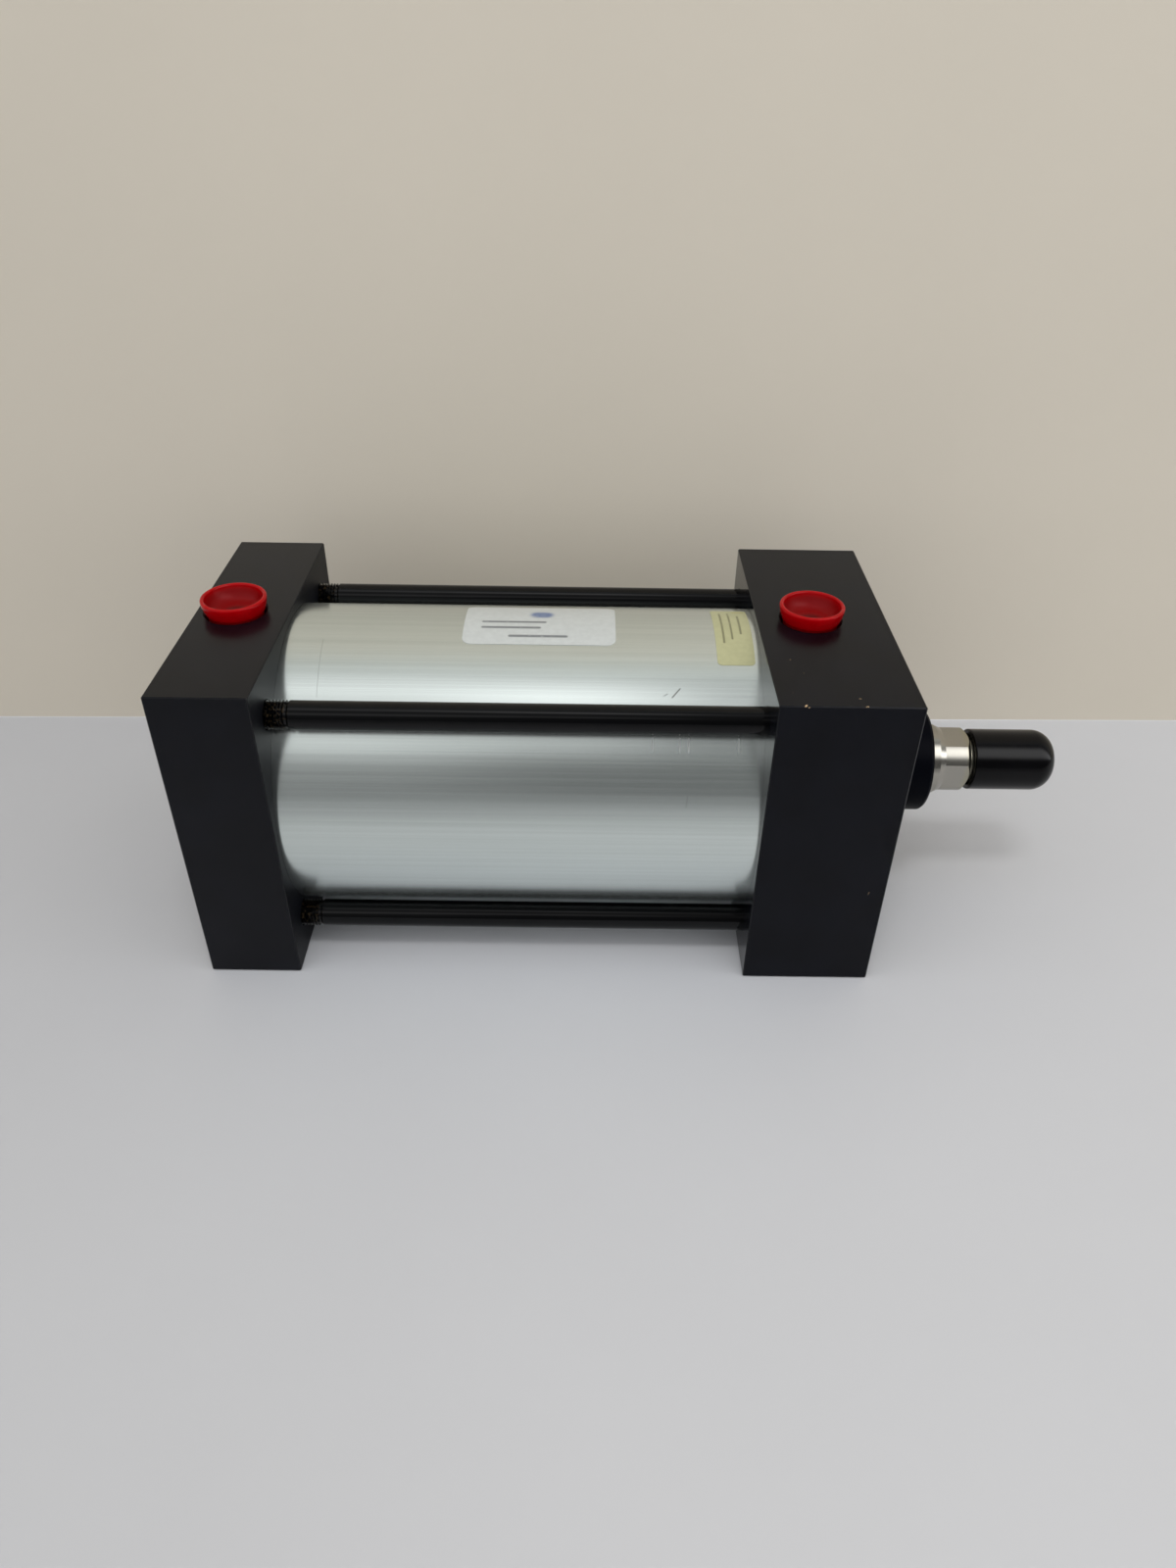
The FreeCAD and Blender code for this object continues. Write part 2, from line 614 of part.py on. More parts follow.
turned(piston, "piston_disc", [
    ("0", nut_pocket), ("0", f"{PISTON_RADIUS} - piston_edge"), ("piston_edge", PISTON_RADIUS),
    (OUTER_LAND, PISTON_RADIUS), (OUTER_LAND, SEAL_FLOOR), (rear_groove, SEAL_FLOOR),
    (rear_groove, PISTON_RADIUS), (band_from, PISTON_RADIUS), (band_from, BAND_FLOOR),
    (magnet_from, BAND_FLOOR), (magnet_from, MAGNET_FLOOR), (magnet_to, MAGNET_FLOOR),
    (magnet_to, BAND_FLOOR), (band_to, BAND_FLOOR), (band_to, PISTON_RADIUS),
    (front_groove, PISTON_RADIUS), (front_groove, SEAL_FLOOR),
    (front_land, SEAL_FLOOR), (front_land, PISTON_RADIUS),
    ("piston_length - piston_edge", PISTON_RADIUS),
    ("piston_length", f"{PISTON_RADIUS} - piston_edge"), ("piston_length", register),
    (ROD_BASE, register), (ROD_BASE, hub), (hub_groove_to, hub), (hub_groove_to, hub_groove),
    (hub_groove_from, hub_groove), (hub_groove_from, hub), ("piston_nut_depth", hub),
    ("piston_nut_depth", nut_pocket),
])
make_o_ring("piston_hub_seal", PISTON_REAR, f"({hub_groove_from} + {hub_groove_to}) / 2",
            hub_groove, "tail_seal_section")

magnet = new_body("magnet_ring", x=PISTON_REAR)
magnet_inner = f"({MAGNET_FLOOR} + seal_rest_gap)"
magnet_outer = f"({BAND_FLOOR} - piston_fit)"
turned(magnet, "magnet_hoop", [
    (f"{magnet_from} + side_gap", magnet_inner), (f"{magnet_to} - side_gap", magnet_inner),
    (f"{magnet_to} - side_gap", magnet_outer), (f"{magnet_from} + side_gap", magnet_outer),
])

# Wear band: a split ring that carries the piston in the barrel
band = new_body("wear_band", x=PISTON_REAR)
band_inner = f"({BAND_FLOOR} + running_gap)"
band_outer = f"({BORE_RADIUS} - running_gap)"
turned(band, "band_hoop", [
    (f"{band_from} + side_gap", band_inner), (f"{band_to} - side_gap", band_inner),
    (f"{band_to} - side_gap", band_outer), (f"{band_from} + side_gap", band_outer),
], sweep="band_turn")

for label, rear, front, facing in (
    ("piston_seal_rear", OUTER_LAND, rear_groove, -1),
    ("piston_seal_front", front_groove, front_land, 1),
):
    lip_seal(label, PISTON_REAR, rear, front, facing, f"({SEAL_FLOOR} + running_gap)", band_outer)

piston_nut = new_body("piston_nut", x=PISTON_REAR)
hex_nut(piston_nut, "piston_nut_hex", "(piston_nut_depth - piston_nut_height)", "piston_nut_height",
        PISTON_NUT_CORNER, f"{TAIL_RADIUS} + nut_bore_gap", "piston_nut_chamfer")

# Piston rod in the piston's frame: tail, running length, neck with wrench flats and threaded stud
rod = new_body("piston_rod", x=PISTON_REAR)
tail_end = "(piston_nut_depth - piston_nut_height - tail_stand)"
turned(rod, "rod_bar", [
    (tail_end, "0"), (tail_end, f"{TAIL_RADIUS} - tail_chamfer"),
    (f"{tail_end} + tail_chamfer", TAIL_RADIUS), (ROD_BASE, TAIL_RADIUS), (ROD_BASE, ROD_RADIUS),
    (f"{SHOULDER} - neck_length", ROD_RADIUS), (f"{SHOULDER} - neck_length + neck_taper", NECK_RADIUS),
    (f"{SHOULDER} - rod_edge", NECK_RADIUS), (SHOULDER, f"{NECK_RADIUS} - rod_edge"),
    (SHOULDER, f"{STUD_RADIUS} - relief_depth"),
    (f"{SHOULDER} + relief_length", f"{STUD_RADIUS} - relief_depth"),
    (f"{SHOULDER} + relief_length + relief_depth", STUD_RADIUS),
    (f"{STUD_END} - stud_chamfer", STUD_RADIUS), (STUD_END, f"{STUD_RADIUS} - stud_chamfer"),
    (STUD_END, "0"),
])
flats = new_sketch(rod, "YZ_Plane", "flats_square", lift=f"{SHOULDER} - flats_length", turn="flats_turn")
draw_outline(flats, square_corners("flats_across / 2"))
draw_circle(flats, "0", "0", "rod")
padded(rod, "rod_flats", flats, "flats_length", cut=True)

# Sleeve over the rod's thread: an open rim and a round closed end
guard = new_body("thread_guard", x=PISTON_REAR)
guard_inner = f"({STUD_RADIUS} + guard_gap)"
guard_outer = f"({guard_inner} + guard_wall)"
guard_from = f"({SHOULDER} + guard_start)"
guard_room = f"({STUD_END} + guard_end_room)"
guard_to = f"({guard_room} + guard_end_wall)"
turned(guard, "guard_sleeve", [
    (guard_from, guard_inner), (guard_from, guard_outer), (guard_to, guard_outer), (guard_to, "0"),
    (guard_room, "0"), (guard_room, guard_inner),
])


def round_edges(body, name, radius, wanted):
    """Round the circular edges of the body's latest feature that have a wanted centre and radius."""
    doc.recompute()
    base = body.Tip
    names = []
    for index, edge in enumerate(base.Shape.Edges, 1):
        if not isinstance(edge.Curve, Part.Circle):
            continue
        for centre, ring_radius in wanted:
            off_centre = (edge.Curve.Center - centre).Length
            if off_centre < SAME_PLACE and abs(edge.Curve.Radius - ring_radius) < SAME_PLACE:
                names.append(f"Edge{index}")
    feature = body.newObject("PartDesign::Fillet", name)
    feature.Base = (base, names)
    feature.setExpression("Radius", tied(radius))


for name, station, radius in (
    ("guard_outer_round", guard_to, guard_outer),
    ("guard_inner_round", guard_room, guard_inner),
    ("guard_rim_round", guard_from, guard_outer),
):
    round_edges(guard, name, name, [(Vector(value(station), 0, 0), value(radius))])


# Port plugs, each in its own frame: Z = 0 at the block's top face, on the port's axis
def make_plug(label, x):
    """A hollow tapered plug with a bowl-like rim, a deep cup in it and an open underside."""
    body = new_body(label, x=x, z="block_side")
    neck = "(port_radius - plug_gap)"
    tip = f"({neck} - plug_taper)"
    rim = f"({neck} + plug_rim_flare)"
    rim_inner = f"({rim} - plug_rim_width)"
    floor = "(plug_rim_top - plug_cup_depth)"
    lip_foot = "(plug_rim_top - plug_lip)"
    floor_under = f"({floor} - plug_wall)"
    turned(body, label + "_shell", [
        ("0", floor), (f"{neck} - plug_cup_step", floor), (rim_inner, "plug_rim_top"), (rim, "plug_rim_top"),
        (rim, lip_foot), (neck, "plug_rim_foot"),
        (neck, "0"), (tip, "-plug_depth"), (f"{tip} - plug_wall", "-plug_depth"),
        (f"{neck} - 2 * plug_wall", floor_under), ("0", floor_under),
    ], plane="XZ_Plane", axis="V_Axis")
    crown = Vector(0, 0, value("plug_rim_top"))
    round_edges(body, label + "_outer_round", "plug_outer_round", [(crown, value(rim))])
    round_edges(body, label + "_inner_round", "plug_inner_round", [(crown, value(rim_inner))])
    round_edges(body, label + "_bowl_round", "plug_bowl_round", [(Vector(0, 0, value(lip_foot)), value(rim))])


port_station = f"({HEAD_FACE} + port_inset)"
make_plug("head_port_plug", port_station)
make_plug("cap_port_plug", f"-{port_station}")

# Every feature has to succeed, and every cut has to take material away
CUTS = ("PartDesign::Groove", "PartDesign::Pocket", "PartDesign::Hole")
LEAST_CUT = 0.01
doc.recompute()
for item in doc.Objects:
    if {"Invalid", "Error"} & set(item.State):
        raise RuntimeError(f"{item.Label} failed: {item.State}")
    if item.TypeId in CUTS and item.Shape.Volume > item.BaseFeature.Shape.Volume - LEAST_CUT:
        raise RuntimeError(f"{item.Label} cuts nothing")
for body in bodies:
    if body.Shape.isNull() or not body.Shape.isValid():
        raise RuntimeError(f"{body.Label} has no valid shape")

os.makedirs("parts", exist_ok=True)
for body in bodies:
    body.Shape.exportStep(f"parts/{body.Label}.step")
    box = body.Shape.BoundBox
    print(f"{body.Label}: {len(body.Shape.Solids)} solids, X {box.XMin:.2f} to {box.XMax:.2f}, "
          f"Z {box.ZMin:.2f} to {box.ZMax:.2f}, {body.Shape.Volume:.0f} mm3")
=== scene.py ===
import math

import bpy
from bpy.props import FloatProperty, FloatVectorProperty, IntProperty, PointerProperty
from mathutils import Matrix, Vector


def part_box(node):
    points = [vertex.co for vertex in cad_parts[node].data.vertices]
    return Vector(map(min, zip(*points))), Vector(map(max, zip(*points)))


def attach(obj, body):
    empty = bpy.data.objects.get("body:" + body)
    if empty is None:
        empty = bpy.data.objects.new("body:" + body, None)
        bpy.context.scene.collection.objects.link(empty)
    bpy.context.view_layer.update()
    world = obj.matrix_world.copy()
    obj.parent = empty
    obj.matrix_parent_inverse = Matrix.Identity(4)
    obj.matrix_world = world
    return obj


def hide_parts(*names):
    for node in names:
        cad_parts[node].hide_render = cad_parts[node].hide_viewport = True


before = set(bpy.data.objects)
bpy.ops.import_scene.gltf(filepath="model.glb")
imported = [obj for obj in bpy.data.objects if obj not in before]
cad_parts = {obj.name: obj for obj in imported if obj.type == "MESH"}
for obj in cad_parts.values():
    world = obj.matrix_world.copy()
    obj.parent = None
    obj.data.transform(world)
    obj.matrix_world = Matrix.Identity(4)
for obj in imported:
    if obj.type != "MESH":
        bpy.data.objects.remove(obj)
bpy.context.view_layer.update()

bl_info = {
    "name": "Tie rod air cylinder",
    "version": (1, 0, 0),
    "blender": (4, 5, 0),
    "location": "3D View > Sidebar > Air cylinder",
    "description": "Models and finishes the pieces of a tie rod air cylinder around its fixed frame",
    "category": "Object",
}

# The frame's own box, and the places in it that the pieces are built from
MM = 0.001
INCH = 25.4 * MM
ORIGIN = (0, 0, 0)
HEAD_LOW, HEAD_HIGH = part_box("head_block")
CAP_LOW, CAP_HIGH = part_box("cap_block")
BARREL_LOW, BARREL_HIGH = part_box("barrel")
TIE_LOW, TIE_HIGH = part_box("tie_rods")
GLAND_LOW, GLAND_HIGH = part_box("rod_gland")
ROD_LOW, ROD_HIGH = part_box("piston_rod")
GUARD_LOW, GUARD_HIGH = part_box("thread_guard")
PLUG_LOW, PLUG_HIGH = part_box("head_port_plug")
CAP_PLUG_LOW, CAP_PLUG_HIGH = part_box("cap_port_plug")
AXIS_HEIGHT = (BARREL_LOW.z + BARREL_HIGH.z) / 2
BARREL_RADIUS = (BARREL_HIGH.z - BARREL_LOW.z) / 2
TIE_RADIUS = 3 / 16 * INCH
TIE_OFFSET = TIE_HIGH.y - TIE_RADIUS
ROD_RADIUS = (ROD_HIGH.y - ROD_LOW.y) / 2
GUARD_RADIUS = (GUARD_HIGH.y - GUARD_LOW.y) / 2
PLUG_RIM_RADIUS = 10.986 * MM
HEAD_PORT = (PLUG_LOW.x + PLUG_HIGH.x) / 2
CAP_PORT = (CAP_PLUG_LOW.x + CAP_PLUG_HIGH.x) / 2
TOP = HEAD_HIGH.z
STUD_LENGTH = 9 / 8 * INCH
SHOULDER = ROD_HIGH.x - STUD_LENGTH

# The four mounting holes stand this far from the middle, along X and across it
MOUNT_HOLE_PLACE = (96.8375 * MM, 26.19375 * MM)

# Vertices nearer to each other than this are merged
WELD_DISTANCE = MM / 500

# The stickers, in millimetres: (width, height, corner radius)
WHITE_STICKER = (51.6, 28.4, 3.0)
YELLOW_STICKER = (12.5, 35.5, 1.6)

# The bench lies just below the blocks, so that their bottom faces stay whole when seen from below
BENCH_HEIGHT = -0.2 * MM
WALL_TURN = math.radians(1.08)
LAMP_PLACE, LAMP_TARGET, LAMP_SIZE = (0.02, -0.46, 1.12), (0, 0, 0.1), (0.30, 0.16)

# Where the photograph was taken from, and which way its right, its bottom and its middle lay
CAMERA_PLACE = (0.02086, -0.33221, 0.28412)
CAMERA_RIGHT = Vector((0.99990, 0.00367, 0.01366))
CAMERA_DOWN = Vector((0.01321, -0.58700, -0.80948))
CAMERA_AHEAD = Vector((0.00504, 0.80958, -0.58699))


def length(name, description, default):
    """A length in metres that a user may change."""
    return FloatProperty(name=name, description=description, default=default, unit="LENGTH", precision=5)


def colour(name, description, default):
    """A colour that a user may change."""
    return FloatVectorProperty(
        name=name, description=description, default=default, subtype="COLOR", size=3, min=0.0, max=1.0)


class CylinderSizes(bpy.types.PropertyGroup):
    """Sizes of the pieces that are modelled here"""

    barrel_radius: length("Barrel radius", "Outside radius of the barrel", BARREL_RADIUS)
    barrel_wall: length("Barrel wall", "Thickness of the barrel's wall", 3.175 * MM)
    tie_rod_radius: length("Tie rod radius", "Radius of the plain part of a tie rod", TIE_RADIUS)
    tie_thread_pitch: length("Tie rod pitch", "Pitch of the tie rods' threads", 1.058 * MM)
    tie_thread_depth: length("Tie rod thread depth", "Depth of the tie rods' threads", 0.62 * MM)
    tie_thread_length: length("Tie rod thread length", "Threaded length at each end of a tie rod", 38.5 * MM)
    rod_radius: length("Piston rod radius", "Radius of the piston rod", ROD_RADIUS)
    neck_radius: length("Neck radius", "Radius of the turned neck behind the stud", 11.65 * MM)
    neck_length: length("Neck length", "Length of the neck with its taper", 11.8 * MM)
    rod_flats: length("Rod flats", "Size across the wrench flats", 20.6375 * MM)
    rod_flats_length: length("Flats length", "Length of the wrench flats along the rod", 9.6 * MM)
    rod_flats_turn: FloatProperty(
        name="Flats turn", description="Turn of the wrench flats about the rod",
        default=math.radians(6.5), subtype="ANGLE", unit="ROTATION")
    stud_radius: length("Stud radius", "Radius over the stud's thread", 9.525 * MM)
    stud_pitch: length("Stud pitch", "Pitch of the stud's thread", 1.5875 * MM)
    stud_thread_depth: length("Stud thread depth", "Depth of the stud's thread", 0.9 * MM)
    guard_wall: length("Guard wall", "Thickness of the thread guard's wall", 1.575 * MM)
    pilot_radius: length("Pilot radius", "Radius of the gland's nose", 19.05 * MM)
    port_radius: length("Port radius", "Radius of a port's plain bore", 9.886 * MM)
    port_pitch: length("Port pitch", "Pitch of the ports' pipe threads", 1.814 * MM)
    mount_radius: length("Mount hole radius", "Radius of a mounting hole's plain bore", 5.358 * MM)
    mount_pitch: length("Mount pitch", "Pitch of the mounting holes' threads", 1.954 * MM)
    label_thickness: length("Label thickness", "Thickness of the stickers", 0.09 * MM)
    turn_steps: IntProperty(
        name="Turn steps", description="Faces round a turned piece", default=160, min=24, max=256)


class CylinderColours(bpy.types.PropertyGroup):
    """Colours of the finishes"""

    barrel: colour("Barrel", "Clear anodised aluminium", (0.705, 0.765, 0.745))
    block: colour("Block", "Black anodised aluminium", (0.0022, 0.0026, 0.0046))
    block_edge: colour("Block edge", "Where the black has worn thin on an edge", (0.030, 0.029, 0.028))
    oxide: colour("Black oxide", "Oiled black steel", (0.0006, 0.0007, 0.0010))
    rod: colour("Rod", "Ground and polished steel", (0.39, 0.375, 0.335))
    vinyl: colour("Guard", "Black dipped vinyl", (0.0013, 0.0012, 0.0017))
    plug: colour("Plug", "Red moulded plastic", (0.385, 0.000, 0.0020))
    label: colour("White label", "Paper of the large sticker", (0.55, 0.58, 0.565))
    label_mark: colour("Label mark", "The blue mark on the large sticker", (0.055, 0.115, 0.29))
    label_rule: colour("Label rules", "The ruled lines on the large sticker", (0.13, 0.14, 0.15))
    tag: colour("Yellow label", "Paper of the small sticker", (0.455, 0.455, 0.26))
    tag_rule: colour("Yellow label rules", "The ruled lines on the small sticker", (0.17, 0.165, 0.09))


class StageSettings(bpy.types.PropertyGroup):
    """Floor, wall, light and camera"""

    floor: colour("Floor", "Pale bench top", (0.62, 0.63, 0.65))
    upper_wall: colour("Upper wall", "The wall above the part", (0.545, 0.563, 0.537))
    wall: colour("Wall", "Pale wall behind the bench", (0.64, 0.590, 0.497))
    wall_distance: length("Wall distance", "Where the wall meets the bench, behind the part", 0.1138)
    lamp_power: FloatProperty(
        name="Lamp power", description="Power of the overhead lamp", default=2.4, unit="POWER")
    fill: FloatProperty(name="Fill", description="Even light from all round on matt surfaces", default=1.03)
    lens: FloatProperty(name="Lens", description="Focal length of the camera", default=24.84, unit="CAMERA")


def sizes():
    return bpy.context.scene.cylinder_sizes


def colours():
    return bpy.context.scene.cylinder_colours


# Modelling
def deselect_all():
    if bpy.context.object and bpy.context.object.mode != "OBJECT":
        bpy.ops.object.mode_set(mode="OBJECT")
    bpy.ops.object.select_all(action="DESELECT")


def take(piece):
    """Make one piece the only selected one, and the active one."""
    deselect_all()
    piece.select_set(True)
    bpy.context.view_layer.objects.active = piece
    return piece


def named(name):
    piece = bpy.context.object
    piece.name = name
    piece.data.name = name
    return piece


def edit_all():
    """Enter edit mode with every vertex selected."""
    bpy.ops.object.mode_set(mode="EDIT")
    bpy.ops.mesh.select_mode(type="VERT")
    bpy.ops.mesh.select_all(action="SELECT")


def merge_doubles():
    bpy.ops.mesh.select_all(action="SELECT")
    bpy.ops.mesh.remove_doubles(threshold=WELD_DISTANCE)


def draw_chain(name, stations, axis):
    """Draw a chain of edges through (along, out) stations by pulling a vertex along, and stay in edit mode."""
    points = [(a, 0, o) if axis == "X" else (o, 0, a) for a, o in stations]
    deselect_all()
    bpy.ops.mesh.primitive_plane_add(size=MM)
    piece = named(name)
    edit_all()
    bpy.ops.mesh.merge(type="CENTER")
    bpy.ops.transform.translate(value=points[0])
    for before, after in zip(points, points[1:]):
        step = Vector(after) - Vector(before)
        bpy.ops.mesh.extrude_vertices_move(TRANSFORM_OT_translate={"value": step})
    return piece


def close_up():
    """Merge doubles and point all faces outwards, from edit mode back to object mode."""
    merge_doubles()
    bpy.ops.mesh.select_all(action="SELECT")
    bpy.ops.mesh.normals_make_consistent(inside=False)
    bpy.ops.object.mode_set(mode="OBJECT")


def arc(along, out, radius, start, end, steps):
    """Stations on an arc about (along, out), from one angle to another in degrees."""
    angles = [math.radians(start + (end - start) * i / steps) for i in range(steps + 1)]
    return [(along + radius * math.cos(a), out + radius * math.sin(a)) for a in angles]


def lathe(name, stations, axis="X", steps=None, closed=True):
    """Turn a section of (along, out) stations about the X or Z axis through the origin."""
    if closed:
        stations = stations + stations[:1]
    piece = draw_chain(name, stations, axis)
    bpy.ops.mesh.select_all(action="SELECT")
    bpy.ops.mesh.spin(
        steps=steps or sizes().turn_steps, angle=math.tau, use_auto_merge=True,
        center=ORIGIN, axis=(1, 0, 0) if axis == "X" else (0, 0, 1))
    close_up()
    return piece


def apply_modifier(piece, kind, **settings):
    """Add a modifier with these settings and apply it."""
    take(piece)
    bpy.ops.object.modifier_add(type=kind)
    modifier = piece.modifiers[-1]
    for key, setting in settings.items():
        setattr(modifier, key, setting)
    bpy.ops.object.modifier_apply(modifier=modifier.name)


def round_edges(piece, width, segments=3, angle=32):
    apply_modifier(piece, "BEVEL", width=width, segments=segments, limit_method="ANGLE",
                   angle_limit=math.radians(angle), use_clamp_overlap=True)


def thread_ridge(name, axis, root, crest, pitch, start, end, steps=40):
    """A helical ridge from its root radius to its crest, along the X or Z axis."""
    side, tip = 0.46 * pitch, 0.07 * pitch
    section = [(start + side + a, o) for a, o in ((-side, root), (-tip, crest), (tip, crest), (side, root))]
    piece = draw_chain(name, section + section[:1], axis)
    merge_doubles()
    bpy.ops.object.mode_set(mode="OBJECT")
    run = end - start - 2 * side
    turns = run / pitch
    cuts = round(steps * turns)
    apply_modifier(piece, "SCREW", axis=axis, angle=math.tau * turns, screw_offset=run, steps=cuts,
                   render_steps=cuts, iterations=1, use_smooth_shade=False)
    edit_all()
    bpy.ops.mesh.fill_holes(sides=0)
    close_up()
    return piece


def join(pieces, name):
    """Make several pieces one."""
    take(pieces[0])
    for piece in pieces:
        piece.select_set(True)
    bpy.ops.object.join()
    return named(name)


def settle(piece, place=ORIGIN, smooth=30):
    """Smooth a finished piece, with its large faces kept true, and put its place in its mesh."""
    take(piece)
    bpy.ops.object.shade_smooth_by_angle(angle=math.radians(smooth))
    apply_modifier(piece, "WEIGHTED_NORMAL", keep_sharp=True, weight=90)
    piece.location = place
    bpy.ops.object.transform_apply()
    return piece


def hand_over(piece, body, slot, material, *replaced):
    """Let a piece ride on its body, and give it its finish and the nodes it stands for. The slot is not used."""
    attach(piece, body)
    piece.data.materials.clear()
    piece.data.materials.append(material)
    if replaced:
        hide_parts(*replaced)


def copied(piece, name, shift):
    """A copy of a piece with a mesh of its own, moved by a shift."""
    take(piece)
    bpy.ops.object.duplicate(linked=False)
    copy = named(name)
    copy.location = shift
    bpy.ops.object.transform_apply()
    return copy


# Nodes of a material or of a node group
def add(tree, kind, inputs=None, **settings):
    """Add a node, set it up, and link or fill its inputs."""
    made = tree.nodes.new(kind)
    for key, setting in settings.items():
        setattr(made, key, setting)
    for key, given in (inputs or {}).items():
        if isinstance(given, bpy.types.NodeSocket):
            tree.links.new(given, made.inputs[key])
        else:
            made.inputs[key].default_value = given
    return made


def first_node(tree, kind):
    return next(node for node in tree.nodes if node.type == kind)


def maths(tree, operation, *given, clamp=False):
    """The output of a maths node."""
    return add(tree, "ShaderNodeMath", dict(enumerate(given)), operation=operation, use_clamp=clamp).outputs[0]


def plus(tree, first, second, clamp=False):
    return maths(tree, "ADD", first, second, clamp=clamp)


def minus(tree, first, second):
    return maths(tree, "SUBTRACT", first, second)


def times(tree, first, second):
    return maths(tree, "MULTIPLY", first, second)


def diagonal(tree, first, second):
    """How far off a place is that lies two distances away, at right angles to each other."""
    return maths(tree, "SQRT", plus(tree, times(tree, first, first), times(tree, second, second)))


def vectors(tree, operation, *given, out="Vector"):
    """An output of a vector maths node."""
    return add(tree, "ShaderNodeVectorMath", dict(enumerate(given)), operation=operation).outputs[out]


def dot(tree, first, second):
    return vectors(tree, "DOT_PRODUCT", first, second, out="Value")


def scaled(tree, vector, scale):
    return add(tree, "ShaderNodeVectorMath", {0: vector, "Scale": scale}, operation="SCALE").outputs[0]


def split(tree, vector):
    """The X, Y and Z of a vector."""
    return add(tree, "ShaderNodeSeparateXYZ", {"Vector": vector}).outputs


def combined(tree, x, y, z):
    """The vector with this X, Y and Z."""
    return add(tree, "ShaderNodeCombineXYZ", {"X": x, "Y": y, "Z": z}).outputs[0]


def noise(tree, place, scale, detail, out="Fac", **more):
    """An output of a noise texture."""
    inputs = {"Vector": place, "Scale": scale, "Detail": detail, **more}
    return add(tree, "ShaderNodeTexNoise", inputs).outputs[out]


def smooth_range(tree, given, low, high, to_low=0.0, to_high=1.0):
    """Ease a value from one range into another."""
    return add(tree, "ShaderNodeMapRange", {
        "Value": given, "From Min": low, "From Max": high, "To Min": to_low, "To Max": to_high,
    }, interpolation_type="SMOOTHSTEP").outputs["Result"]


def blend(tree, share, first, second):
    """One colour turning into another."""
    return add(tree, "ShaderNodeMix", {0: share, 6: first, 7: second}, data_type="RGBA").outputs[2]


def rgba(values, shade=1.0):
    return (values[0] * shade, values[1] * shade, values[2] * shade, 1.0)


def spaced(label):
    return label.replace("_", " ")


def shared_group(name, **inputs):
    """Turn a function that builds nodes into one that gives their node group, which is made once."""
    def kind(is_vector):
        return "NodeSocketVector" if is_vector else "NodeSocketFloat"

    def wrapped(build):
        def group():
            made = bpy.data.node_groups.get(name)
            if made:
                return made
            made = bpy.data.node_groups.new(name, "ShaderNodeTree")
            for label, default in inputs.items():
                made.interface.new_socket(
                    spaced(label), in_out="INPUT", socket_type=kind(isinstance(default, tuple)),
                ).default_value = default
            results = build(made, made.nodes.new("NodeGroupInput").outputs)
            for label, socket in results.items():
                made.interface.new_socket(label, in_out="OUTPUT", socket_type=kind(socket.type == "VECTOR"))
            end = made.nodes.new("NodeGroupOutput").inputs
            for label, socket in results.items():
                made.links.new(socket, end[label])
            return made
        return group
    return wrapped


@shared_group("Surface grain", Place=ORIGIN, Scale=900.0, Roughness=0.4, Spread=0.1)
def grain_group(tree, start):
    """Fine unevenness of a surface: a roughness that varies about its mean, a height and broad clouds."""
    fine = noise(tree, start["Place"], start["Scale"], 4.0, Roughness=0.6)
    cloud = noise(tree, start["Place"], times(tree, start["Scale"], 0.03), 3.0)
    both = plus(tree, times(tree, fine, 0.4), times(tree, cloud, 0.6))
    shift = times(tree, minus(tree, both, 0.5), start["Spread"])
    return {"Roughness": plus(tree, start["Roughness"], shift, clamp=True), "Height": fine, "Cloud": cloud}


@shared_group("Lengthwise streaks", Place=ORIGIN, Along=12.0, Across=1500.0)
def streak_group(tree, start):
    """Long fine lines along X, as drawing or brushing leaves them."""
    stretch = combined(tree, start["Along"], start["Across"], start["Across"])
    place = vectors(tree, "MULTIPLY", start["Place"], stretch)
    return {"Streak": noise(tree, place, 1.0, 3.0, Roughness=0.65)}


@shared_group("Unrolled place", Place=ORIGIN, Axis_height=AXIS_HEIGHT)
def unrolled_group(tree, start):
    """Places on a round piece laid flat: its length along X, and its arc from the top line along Y."""
    x, y, z = split(tree, start["Place"])
    up = minus(tree, z, start["Axis height"])
    out = diagonal(tree, y, up)
    arc_length = times(tree, maths(tree, "ARCTAN2", y, up), out)
    return {"Unrolled": combined(tree, x, arc_length, 0.0), "Along": x, "Out": out}


@shared_group("Stroke", Place=ORIGIN, Start=ORIGIN, End=ORIGIN, Width=0.3 * MM)
def stroke_group(tree, start):
    """A stroke between two places, as a scratch, a chip or a ruled line is."""
    from_start = vectors(tree, "SUBTRACT", start["Place"], start["Start"])
    whole = vectors(tree, "SUBTRACT", start["End"], start["Start"])
    squared = plus(tree, dot(tree, whole, whole), 1e-12)
    share = maths(tree, "DIVIDE", dot(tree, from_start, whole), squared, clamp=True)
    to_stroke = vectors(tree, "SUBTRACT", from_start, scaled(tree, whole, share))
    away = vectors(tree, "LENGTH", to_stroke, out="Value")
    return {"Mask": smooth_range(tree, away, start["Width"], times(tree, start["Width"], 0.35))}


@shared_group("Specks", Place=ORIGIN, Scale=300.0, Size=0.08, Share=0.06)
def speck_group(tree, start):
    """Sparse specks such as dust and lint, each cell of a pattern holding one or none."""
    cells = add(tree, "ShaderNodeTexVoronoi", {"Vector": start["Place"], "Scale": start["Scale"]}).outputs
    spot = smooth_range(tree, cells["Distance"], start["Size"], 0.0)
    chance = add(tree, "ShaderNodeSeparateColor", {"Color": cells["Color"]}).outputs[0]
    return {"Mask": times(tree, spot, maths(tree, "LESS_THAN", chance, start["Share"]))}


